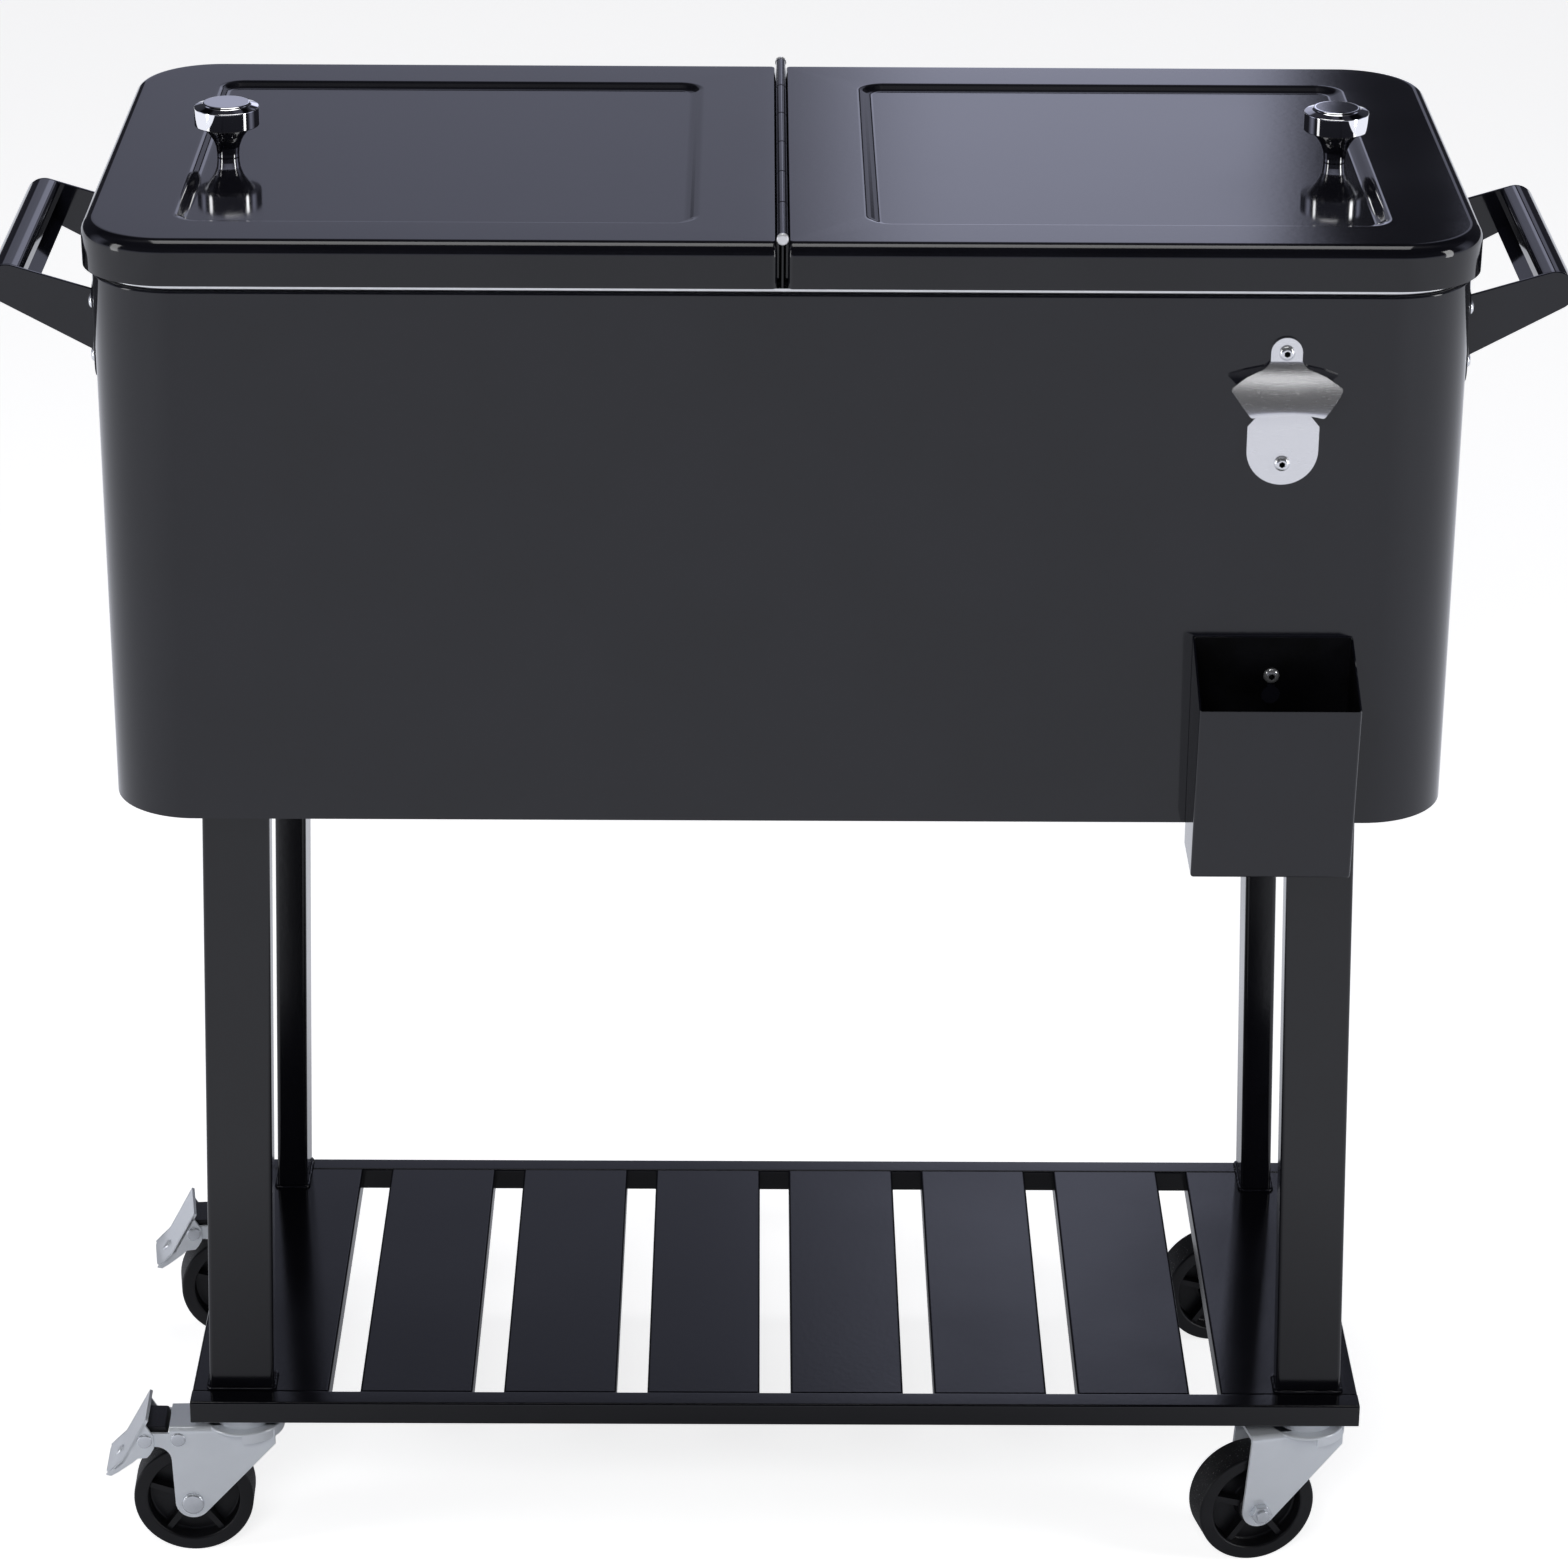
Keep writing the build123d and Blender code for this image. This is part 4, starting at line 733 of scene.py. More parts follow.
# %% Knobs
knob_low, knob_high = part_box("right_knob")
knob_cap_radius = (knob_high.x - knob_low.x) / 2
knob_x = (knob_low.x + knob_high.x) / 2
knob_y = (knob_low.y + knob_high.y) / 2 - middle_y
knob_neck_height = 0.0193
knob_cap_top = 0.0302
knob_height = knob_high.z - knob_low.z
knob_rounding = 0.0016
knob_steps = 64
knob_waist_shares = [
    (0.345, 0.0), (0.345, 0.12), (0.37, 0.33), (0.45, 0.54), (0.53, 0.67), (0.68, 0.86), (0.78, 1.0),
]
knob_crown_shares = [(0.75, 0.55), (0.72, 0.92), (0.67, 1.0), (0.0, 1.0)]


def make_knob(side, name, node, body):
    """Turn one knob on the lid of its side."""
    bm = bmesh.new()
    profile = [(0.0, 0.0)]
    profile += [(r * knob_cap_radius, h * knob_neck_height) for r, h in knob_waist_shares]
    profile += [(knob_cap_radius, knob_neck_height), (knob_cap_radius, knob_cap_top)]
    crown_rise = knob_height - knob_cap_top
    profile += [(r * knob_cap_radius, knob_cap_top + h * crown_rise) for r, h in knob_crown_shares]
    place = at(side * knob_x, knob_y, knob_low.z)
    add_turned(bm, profile, place, knob_rounding, knob_steps, 3)
    return make_piece(bm, name, body, chrome, [node], sharp=radians(50))


make_knob(1, "right_chrome_knob", "right_knob", "right_lid")
make_knob(-1, "left_chrome_knob", "left_knob", "left_lid")

# %% [markdown]
# ## Hinge
#
# The lids share one hinge: six knuckles on one pin. Two belong to a fixed leaf in the middle and
# two to each lid. Each knuckle is a short rolled tube, so it is turned, and its leaf is a strip.

# %% Hinge knuckles and leaves
centre_low, centre_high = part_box("hinge_centre_leaf")
knuckle_radius = 0.0030
pin_radius = 0.0015
knuckle_count = 6
knuckle_gap = 0.0009
leaf_sheet = 0.0010
leaf_clearance = 0.0003
knuckle_edge = 0.0004
hinge_z = centre_high.z - knuckle_radius
hinge_length = centre_high.y - centre_low.y
knuckle_pitch = hinge_length / knuckle_count
leaf_edge_length = 0.3436


def make_leaf(node, near_x, far_x, numbers, length):
    """One leaf of the hinge: a strip with a riser and a knuckle at each of its places."""
    bm = bmesh.new()
    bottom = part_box(node)[0].z
    strip_top = hinge_z - knuckle_radius - leaf_clearance
    ends = (middle_y - length / 2, middle_y + length / 2)
    add_block(bm, (near_x, ends[0], bottom), (far_x, ends[1], strip_top))
    for number in numbers:
        start = middle_y - hinge_length / 2 + number * knuckle_pitch + knuckle_gap / 2
        end = start + knuckle_pitch - knuckle_gap
        add_block(bm, (near_x, start, bottom), (far_x, end, hinge_z - pin_radius))
        tube = [(pin_radius, 0), (knuckle_radius, 0)]
        tube += [(knuckle_radius, end - start), (pin_radius, end - start)]
        place = Matrix.Translation((0, end, hinge_z)) @ face_front
        add_turned(bm, tube, place, knuckle_edge, 24, 2)
    return bm


for side, word, numbers in ((1, "right", (2, 4)), (-1, "left", (1, 3))):
    near_x, far_x = sorted((side * (knuckle_radius - leaf_sheet), side * knuckle_radius))
    node = f"{word}_hinge_leaf"
    bm = make_leaf(node, near_x, far_x, numbers, leaf_edge_length)
    make_piece(bm, f"{word}_hinge_strip", f"{word}_lid", lid_paint, [node])

bm = make_leaf("hinge_centre_leaf", -leaf_sheet / 2, leaf_sheet / 2, (0, 5), hinge_length)
foot_half, foot_sheet, foot_inset = 0.008, 0.0008, 0.009
add_block(
    bm,
    (-foot_half, centre_low.y + foot_inset, centre_low.z),
    (foot_half, centre_high.y - foot_inset, centre_low.z + foot_sheet),
)
make_piece(bm, "centre_hinge_strip", "root", cart_paint, ["hinge_centre_leaf"])

# %% [markdown]
# The pin runs through all six knuckles. It has a domed head at both ends and is one profile.

# %% Hinge pin
pin_low, pin_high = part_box("hinge_pin")
pin_rounding = 0.0003
pin_head_height = 0.0024
pin_head_shares = [(1.0, 0.0), (1.0, 0.55), (0.92, 0.84), (0.72, 0.98), (0.0, 1.0)]
pin_head_radius = (pin_high.x - pin_low.x) / 2
bm = bmesh.new()
shank_length = pin_high.y - pin_low.y - 2 * pin_head_height
profile = [(0.0, -shank_length / 2 - pin_head_height)]
profile += [
    (r * pin_head_radius, -shank_length / 2 - h * pin_head_height)
    for r, h in reversed(pin_head_shares[:-1])
]
profile += [(pin_radius, -shank_length / 2), (pin_radius, shank_length / 2)]
profile += [(r * pin_head_radius, shank_length / 2 + h * pin_head_height) for r, h in pin_head_shares]
pin_place = Matrix.Translation((0, (pin_low.y + pin_high.y) / 2, hinge_z)) @ face_front
add_turned(bm, profile, pin_place, pin_rounding, 32, 2)
make_piece(
    bm, "hinge_pin_steel", "root", pin_steel, ["hinge_pin"], sharp=radians(50)
)

# %% [markdown]
# ## Screws
#
# All the screws outside are button heads with a hexagon socket. A dome is spun with its middle
# left open, the open ring is bridged to a hexagon, and the hexagon is pushed down into the head.

# %% Button head screws
button_radius = 0.0046
button_height = 0.0027
socket_radius = 0.0019
socket_depth = 0.0016
dome_shares = [(1.0, 0.0), (1.0, 0.22), (0.93, 0.52), (0.78, 0.80), (0.60, 0.96), (0.50, 1.0)]


def add_button_screw(bm, place):
    """One button head screw whose seat is the XY plane of its place."""
    before = set(bm.verts)
    profile = [(r * button_radius, h * button_height) for r, h in dome_shares]
    dome = add_turned(bm, profile, Matrix.Identity(4), 0.0, 24)
    ring = [
        e for e in {e for v in dome for e in v.link_edges}
        if e.is_boundary and all(v.co.z > button_height * 0.99 for v in e.verts)
    ]
    hexagon = bmesh.ops.create_circle(
        bm, cap_ends=False, segments=6, radius=socket_radius,
        matrix=Matrix.Translation((0, 0, button_height)),
    )["verts"]
    hexagon_edges = list({e for v in hexagon for e in v.link_edges})
    bridge(bm, ring, hexagon_edges)
    pushed = bmesh.ops.extrude_edge_only(bm, edges=hexagon_edges)["geom"]
    bottom = [item for item in pushed if isinstance(item, bmesh.types.BMVert)]
    bmesh.ops.translate(bm, verts=bottom, vec=(0, 0, -socket_depth))
    pushed_edges = [item for item in pushed if isinstance(item, bmesh.types.BMEdge)]
    fill(bm, [e for e in pushed_edges if all(v in bottom for v in e.verts)])
    made = [v for v in bm.verts if v not in before]
    bmesh.ops.transform(bm, matrix=place, verts=made)


# %% [markdown]
# Two screws hold the opener, one carries the cap catcher, and four hold each handle plate.

# %% Screws in their places
opener_low, opener_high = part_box("bottle_opener")
front_y = shell_low.y
opener_x = (opener_low.x + opener_high.x) / 2
opener_sheet = 0.002
opener_tab_radius = 0.0089
opener_screw_spacing = 0.0658
opener_screw_z = opener_high.z - opener_tab_radius
catcher_low, catcher_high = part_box("cap_catcher")
catcher_sheet = 0.0012
catcher_screw_drop = 0.0235
catcher_screw_z = catcher_high.z - catcher_screw_drop

bm = bmesh.new()
for z in (opener_screw_z, opener_screw_z - opener_screw_spacing):
    add_button_screw(bm, Matrix.Translation((opener_x, front_y - opener_sheet, z)) @ face_front)
catcher_seat_y = catcher_high.y - catcher_sheet - leaf_clearance
add_button_screw(bm, Matrix.Translation((opener_x, catcher_seat_y, catcher_screw_z)) @ face_front)
make_piece(bm, "front_button_screws", "root", screw_steel, ["front_screws"], sharp=radians(40))

plate_low, plate_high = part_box("right_handle_plate")
handle_z = (plate_low.z + plate_high.z) / 2
handle_screw_inset = 0.010
handle_screw_rise = 0.016
bm = bmesh.new()
for side, turned in ((1, face_right), (-1, face_left)):
    for y in (plate_low.y + handle_screw_inset, plate_high.y - handle_screw_inset):
        for rise in (-handle_screw_rise, handle_screw_rise):
            add_button_screw(bm, Matrix.Translation((side * plate_high.x, y, handle_z + rise)) @ turned)
make_piece(bm, "handle_button_screws", "root", screw_steel, ["handle_screws"], sharp=radians(40))

# %% [markdown]
# ## Bottle opener
#
# The opener is one steel plate: a round tab at the top, a hood pressed out over it, and a wide
# lower plate. The hood starts as a flat blank, which is cut into narrow strips so that it can
# bend, and each of its points is then pushed out by how far down the hood it lies.

# %% Opener sizes
hood_start_drop = 0.0050
hood_neck_half, hood_neck_drop = 0.0115, 0.0085
hood_wing_half, hood_wing_drop = 0.0317, 0.0175
hood_lip_half, hood_lip_drop, hood_lip_rise = 0.0204, 0.0322, 0.0026
hood_setback = 0.0003
hood_reach = front_y - opener_low.y - hood_setback
hood_start_ease = 0.30
hood_brow = (0.0225, -0.0124)
hood_fillet = 0.0014
hood_strip = 0.0010
hood_strips_across = 20
hood_sheet = 0.0011
plate_half, plate_centre_drop = 0.0203, 0.0583
plate_steps = 24
shoulder_top_drop, shoulder_drop = 0.0300, 0.0438
opener_rim = 0.00035
print("hood reaches out", round(hood_reach, 4), "m")

# %% [markdown]
# The blank is an outline with rounded corners, the same on both sides. Planes cut it into strips
# down and across before its points are pushed out.

# %% Hood
bm = bmesh.new()
half = [(opener_tab_radius, -hood_start_drop), (hood_neck_half, -hood_neck_drop), hood_brow]
half += [(hood_wing_half, -hood_wing_drop), (hood_lip_half, -hood_lip_drop)]
other_half = [(-x, y) for x, y in reversed(half)]
blank = [bm.verts.new((x, y, 0)) for x, y in half + other_half]
bm.faces.new(blank)
bmesh.ops.bevel(
    bm, geom=[v for v in blank if abs(v.co.x) > opener_tab_radius * 1.1], offset=hood_fillet,
    offset_type="OFFSET", segments=6, profile=0.5, affect="VERTICES", material=-1, clamp_overlap=True,
)
drop = hood_start_drop + hood_strip
while drop < hood_lip_drop:
    geometry = bm.verts[:] + bm.edges[:] + bm.faces[:]
    bmesh.ops.bisect_plane(bm, geom=geometry, plane_co=(0, -drop, 0), plane_no=(0, 1, 0))
    drop += hood_strip
for step in range(1, hood_strips_across):
    x = hood_wing_half * (2 * step / hood_strips_across - 1)
    geometry = bm.verts[:] + bm.edges[:] + bm.faces[:]
    bmesh.ops.bisect_plane(bm, geom=geometry, plane_co=(x, 0, 0), plane_no=(1, 0, 0))
for vert in bm.verts:
    down = (-vert.co.y - hood_start_drop) / (hood_lip_drop - hood_start_drop)
    down = min(max(down, 0.0), 1.0)
    bow = hood_lip_rise * max(0.0, 1 - (vert.co.x / hood_lip_half) ** 2) * down**4
    eased = down * down * (1 + hood_start_ease) / (down + hood_start_ease)
    vert.co.z = opener_sheet + (hood_reach - opener_sheet) * (1 - (1 - eased) ** 2)
    vert.co.y += bow
bmesh.ops.recalc_face_normals(bm, faces=bm.faces)
if sum(face.normal.z for face in bm.faces) < 0:
    bmesh.ops.reverse_faces(bm, faces=bm.faces)
bmesh.ops.solidify(bm, geom=bm.faces[:], thickness=hood_sheet)
print("hood faces:", len(bm.faces))

# %% [markdown]
# The tab and the lower plate are one outline: a half circle at each end, joined by shoulders.

# %% Opener plate
lower = arc_points((0.0, -plate_centre_drop), plate_half, 0.0, -pi, plate_steps)
tab = arc_points((0.0, 0.0), opener_tab_radius, pi, 0.0, plate_steps)
outline = lower + [(-plate_half, -shoulder_drop), (-opener_tab_radius, -shoulder_top_drop)]
outline += tab + [(opener_tab_radius, -shoulder_top_drop), (plate_half, -shoulder_drop)]
add_plate(bm, outline, opener_sheet, Matrix.Identity(4))
opener_place = Matrix.Translation((opener_x, front_y, opener_screw_z)) @ face_front
bmesh.ops.transform(bm, matrix=opener_place, verts=bm.verts)
make_piece(
    bm, "cap_lifter", "root", opener_steel, ["bottle_opener"], sharp=radians(40),
    rim=opener_rim,
)

# %% [markdown]
# ## Cap catcher
#
# A folded bin that hangs on one screw by a keyhole. It starts as a cube whose front is drawn in
# at the foot, its top is taken away, and its folds are rounded as a press brake rounds them. The
# keyhole is cut last, by a boolean whose result is kept.

# %% Cap catcher
catcher_foot_depth = 0.047
catcher_front_height = 0.1092
catcher_fold = 0.0018
keyhole_radius = 0.0056
keyhole_slot = 0.00245
keyhole_lift = 0.012

bm = bmesh.new()
corners = add_block(bm, catcher_low, catcher_high)
for corner in corners:
    in_front = corner.co.y < (catcher_low.y + catcher_high.y) / 2
    below = corner.co.z < (catcher_low.z + catcher_high.z) / 2
    if in_front and below:
        corner.co.y = catcher_high.y - catcher_foot_depth
    elif in_front:
        corner.co.z = catcher_low.z + catcher_front_height
open_top = max(bm.faces, key=lambda face: face.calc_center_median().z)
bmesh.ops.delete(bm, geom=[open_top], context="FACES_ONLY")
round_edges(bm, [e for e in bm.edges if not e.is_boundary], catcher_fold, 4)
# The bin's inner sheet takes the darker inside finish, which is painted shade.
cap_bin = make_piece(
    bm, "cap_bin", "cap_catcher", body_paint, ["cap_catcher"], wall=catcher_sheet,
    second=bin_inside_shade,
)
cap_bin.modifiers["sheet"].material_offset = 1

# %% [markdown]
# The punch is a round hole and a narrow slot above it that ends round, at the screw.

# %% Keyhole
cutter_mesh = bmesh.new()
for drop, radius in ((0.0, keyhole_slot), (keyhole_lift, keyhole_radius)):
    bmesh.ops.create_cone(
        cutter_mesh, cap_ends=True, segments=32, radius1=radius, radius2=radius, depth=4 * catcher_sheet,
        matrix=Matrix.Translation((opener_x, catcher_high.y, catcher_screw_z - drop)) @ face_front,
    )
add_block(
    cutter_mesh,
    (opener_x - keyhole_slot, catcher_high.y - 2 * catcher_sheet, catcher_screw_z - keyhole_lift),
    (opener_x + keyhole_slot, catcher_high.y + 2 * catcher_sheet, catcher_screw_z),
)
cutter_data = bpy.data.meshes.new("keyhole_punch")
cutter_mesh.to_mesh(cutter_data)
cutter_mesh.free()
cutter = bpy.data.objects.new("keyhole_punch", cutter_data)
bpy.context.scene.collection.objects.link(cutter)
punch = cap_bin.modifiers.new("keyhole", "BOOLEAN")
punch.operation = "DIFFERENCE"
punch.solver = "EXACT"
punch.use_self = True
punch.object = cutter
bpy.context.view_layer.update()
depsgraph = bpy.context.evaluated_depsgraph_get()
punched = bpy.data.meshes.new_from_object(cap_bin.evaluated_get(depsgraph))
cap_bin.modifiers.clear()
cap_bin.data = punched
bpy.data.objects.remove(cutter)
print("cap bin after its keyhole:", len(punched.polygons))

# %% [markdown]
# ## Handles
#
# Each handle is a plate on the body's side with a bail welded to it: two arms that are wide at
# the plate and round at the end, and a grip rolled round that end with a lip folded down inside.

# %% Handles
bail_low, bail_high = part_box("right_handle_bail")
plate_corner = 0.010
bail_sheet = 0.0025
bail_root_top = 0.0175
bail_root_bottom = -0.0203
bail_end = Vector((0.0515, 0.0210))
bail_end_radius = 0.0116
grip_lip_depth = 0.0085
grip_lip_x = 0.0425
grip_lip_rounding = 0.0030
handle_rim = 0.0006
end_steps = 20
upper_touch = touch_point((0.0, bail_root_top), bail_end, bail_end_radius, 1)
lower_touch = touch_point((0.0, bail_root_bottom), bail_end, bail_end_radius, -1)
upper_angle = atan2(upper_touch.y - bail_end.y, upper_touch.x - bail_end.x)
lower_angle = atan2(lower_touch.y - bail_end.y, lower_touch.x - bail_end.x)
end_arc = arc_points(bail_end, bail_end_radius, upper_angle, lower_angle, end_steps)


def make_handle(side, word):
    """One handle's plate and bail; the left one is the right one in a mirror."""
    plate = bmesh.new()
    long_half = (plate_high.y - plate_low.y) / 2
    tall_half = (plate_high.z - plate_low.z) / 2
    corners = [(-long_half, -tall_half), (long_half, -tall_half)]
    corners += [(long_half, tall_half), (-long_half, tall_half)]
    plate_centre = (plate_low.x, (plate_low.y + plate_high.y) / 2, handle_z)
    plate_place = Matrix.Translation(plate_centre) @ along_x
    add_plate(plate, corners, plate_high.x - plate_low.x, plate_place, plate_corner, handle_rim)
    bail = bmesh.new()
    outline = [(0.0, bail_root_bottom), (0.0, bail_root_top)] + end_arc
    for y in (bail_low.y + bail_sheet, bail_high.y):
        arm_place = Matrix.Translation((bail_low.x, y, handle_z)) @ face_front
        add_plate(bail, outline, bail_sheet, arm_place, 0.0, handle_rim)
    slope = (upper_touch.y - bail_root_top) / upper_touch.x
    grip_top = bail_root_top + slope * grip_lip_x
    lower_slope = (lower_touch.y - bail_root_bottom) / lower_touch.x
    grip_bottom = bail_root_bottom + lower_slope * grip_lip_x
    profile = [(grip_lip_x, grip_top - grip_lip_depth), (grip_lip_x, grip_top)]
    profile += end_arc + [(grip_lip_x, grip_bottom)]
    grip_y = bail_low.y + bail_sheet
    verts = [bail.verts.new((bail_low.x + x, grip_y, handle_z + z)) for x, z in profile]
    for pair in zip(verts, verts[1:]):
        bail.edges.new(pair)
    bmesh.ops.bevel(
        bail, geom=[verts[1]], offset=grip_lip_rounding, offset_type="OFFSET", segments=5,
        profile=0.5, affect="VERTICES", material=-1,
    )
    chain = [e for e in bail.edges if not e.link_faces]
    pulled = bmesh.ops.extrude_edge_only(bail, edges=chain)["geom"]
    moved = [item for item in pulled if isinstance(item, bmesh.types.BMVert)]
    bmesh.ops.translate(bail, verts=moved, vec=(0, bail_high.y - bail_low.y - 2 * bail_sheet, 0))
    grip_faces = [item for item in pulled if isinstance(item, bmesh.types.BMFace)]
    bmesh.ops.recalc_face_normals(bail, faces=grip_faces)
    outermost = max(grip_faces, key=lambda face: face.calc_center_median().x)
    if outermost.normal.x < 0:
        bmesh.ops.reverse_faces(bail, faces=grip_faces)
    bmesh.ops.solidify(bail, geom=grip_faces, thickness=bail_sheet)
    for bm, name, node in (
        (plate, f"{word}_handle_pad", f"{word}_handle_plate"),
        (bail, f"{word}_handle_grip", f"{word}_handle_bail"),
    ):
        if side < 0:
            bmesh.ops.scale(bm, vec=(-1, 1, 1), verts=bm.verts)
        make_piece(bm, name, "root", body_paint, [node], sharp=radians(40))


make_handle(1, "right")
make_handle(-1, "left")

# %% [markdown]
# ## Cart
#
# The cart is welded from square and flat tube. A tube's section is a rounded rectangle, and a
# tube is that section drawn out to its length. The slats are closed bars a hair short of the
# rails, which leaves the thin dark seam that the eye reads as a joint.

# %% Legs
leg_lean = 0.0114
leg_corner = 0.0025
leg_wall = 0.0020
bead_width = 0.0020
bead_shoulder = 0.75 * bead_width
bead_rise = 1.2 * bead_width
bead_lump = 0.28 * bead_width
lumps_per_metre = 900.0
bead_cuts = 20


def make_leg(word):
    """One leaning leg with the weld bead round its foot."""
    low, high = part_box(f"{word}_leg")
    width = high.x - low.x - leg_lean
    outward = 1 if low.x > 0 else -1
    foot_x = high.x - width if outward > 0 else low.x
    top_x = low.x if outward > 0 else high.x - width
    foot_low, foot_high = (foot_x, low.y), (foot_x + width, high.y)
    bm = bmesh.new()
    foot = rounded_loop(bm, foot_low, foot_high, low.z, leg_corner, steps=6)
    head = rounded_loop(bm, (top_x, low.y), (top_x + width, high.y), high.z, leg_corner, steps=6)
    bridge(bm, foot, head)
    wide, shoulder, narrow = [
        rounded_loop(bm, *grown(foot_low, foot_high, out), low.z + up, leg_corner + out, steps=6)
        for out, up in ((bead_width, 0.0), (bead_shoulder, bead_shoulder), (0.0, bead_rise))
    ]
    bridge(bm, wide, shoulder)
    bridge(bm, shoulder, narrow)
    long_bead = [e for e in wide + shoulder + narrow if e.calc_length() > bead_width * 2]
    bmesh.ops.subdivide_edges(bm, edges=long_bead, cuts=bead_cuts, use_grid_fill=True)
    for vert in bm.verts:
        above = vert.co.z - low.z
        if bead_width / 2 < above < bead_width:
            vert.co += vert.normal * noise.noise(vert.co * lumps_per_metre) * bead_lump
    node = f"{word}_leg"
    make_piece(
        bm, f"{word}_leg_tube", "root", cart_paint, [node], wall=leg_wall
    )


for word in ("front_left", "front_right", "rear_left", "rear_right"):
    make_leg(word)

# %% [markdown]
# A rail or a slat is a closed bar: one section at both ends, joined by a band and capped.

# %% Rails and slats
rail_corner = 0.0015
bar_end = 0.0004
slat_count = 8
slat_gap = 0.019
seam = 0.0002


def add_bar(bm, low, high, run):
    """A closed bar from corner to corner that runs along X or along Y."""
    before = set(bm.verts)
    if run == "X":
        section = (low.y, low.z), (high.y, high.z)
        ends, place = (low.x, high.x), along_x
    else:
        section = (low.x, low.z), (high.x, high.z)
        ends, place = (low.y, high.y), along_y
    loops = [rounded_loop(bm, *section, end, rail_corner, steps=5) for end in ends]
    bridge(bm, *loops)
    for loop in loops:
        fill(bm, loop)
    round_edges(bm, loops[0] + loops[1], bar_end, 2)
    bmesh.ops.transform(bm, matrix=place, verts=[v for v in bm.verts if v not in before])


for word, run in (("front", "X"), ("rear", "X"), ("left", "Y"), ("right", "Y")):
    node = f"{word}_shelf_rail"
    low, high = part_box(node)
    bm = bmesh.new()
    add_bar(bm, low, high, run)
    make_piece(bm, f"{word}_rail_tube", "root", cart_paint, [node])

slats_low, slats_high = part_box("shelf_slats")
slat_width = (slats_high.x - slats_low.x - (slat_count - 1) * slat_gap) / slat_count
bm = bmesh.new()
for number in range(slat_count):
    start = slats_low.x + number * (slat_width + slat_gap)
    low = Vector((start + seam, slats_low.y + seam, slats_low.z))
    high = Vector((start + slat_width - seam, slats_high.y - seam, slats_high.z))
    add_bar(bm, low, high, "Y")
make_piece(bm, "flat_slats", "root", cart_paint, ["shelf_slats"])

# %% [markdown]
# ## Casters
#
# A caster is drawn once, about its swivel axis with the wheel trailing to the left, and set down
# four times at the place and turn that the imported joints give. The fork is folded sheet, the race
# above it is turned, and the wheel is one turned rim with ribs.

# %% Caster sizes
joint_of = {joint["name"]: joint for joint in frame["record"]["behaviour"]["joints"]}
wheel_radius = 0.0375
wheel_half = 0.0120
wheel_rounding = 0.0016
tread_depth = 0.00026
rim_inner = 0.0285
web_half = 0.0020
hub_radius = 0.0120
hub_half = 0.0136
axle_radius = 0.0040
rib_count = 5
rib_half = 0.0018
rib_reach = 0.0090
rib_start, rib_end = 0.9 * hub_radius, 1.02 * rim_inner
rib_root_reach, rib_root_width = 1.12, 1.15
axle_x = -0.0330
fork_top = 0.0915
fork_sheet = 0.0025
fork_rim = 0.0005
cheek_outer = 0.0165
cheek_bend = 0.0040
bend_radius = 0.85 * cheek_bend
fold_overlap = 0.0005
head_radius = 0.0250
head_rounding = 0.0011
skirt_depth = 0.0070
shoulder_x, shoulder_depth = 0.0200, 0.0120
lug_radius = 0.0110
lug_steps = 16
plain_reach, braked_reach = 0.0400, 0.0460
cup_outer, cup_inner, cup_height = 0.01825, 0.0163, 0.0062
cup_rounding = 0.0006
seat_z = 0.1005
pivot = Vector((-0.0612, 0.0841))
pivot_lug = 0.0048
notch_radius = 0.0100
notch_centre = pivot + Vector((0.0060, -0.0160))
notch_steps = 8
brake_rivet = Vector((-0.0405, 0.0835))


def caster_place(name):
    """The place and turn of a caster, from its swivel and spin joints."""
    x, y, _ = joint_of[f"{name}_swivel"]["pos_m"]
    axis_x, axis_y, _ = joint_of[f"{name}_spin"]["axis"]
    return Matrix.Translation((x, y, 0)) @ Matrix.Rotation(atan2(-axis_x, axis_y), 4, "Z")


print("joints:", len(joint_of))

# %% [markdown]
# The race is one turned profile of radii and heights: stem, seat, cup and the head of the kingpin.

# %% Race
race_rounding = 0.0004
race_profile = [
    (0, 0.1145), (0.005, 0.1145), (0.005, seat_z), (cup_outer, seat_z), (cup_outer, 0.098),
    (0.0157, 0.098), (0.0157, 0.0918), (0.006, 0.0918), (0.006, 0.0887),
    (0.009, 0.0887), (0.009, 0.0860), (0, 0.0860),
]


def make_race(name, place):
    """Stem, upper race and kingpin, all turned in one."""
    bm = bmesh.new()
    add_turned(bm, race_profile, place, race_rounding, 64, 2)
    node = f"{name}_caster_raceway"
    make_piece(bm, f"{name}_race", "root", caster_zinc, [node], sharp=radians(40))


# %% [markdown]
# The wheel is turned too, and its ribs are blocks that taper towards the rim. The faces that lie
# furthest out take the gritty tread.


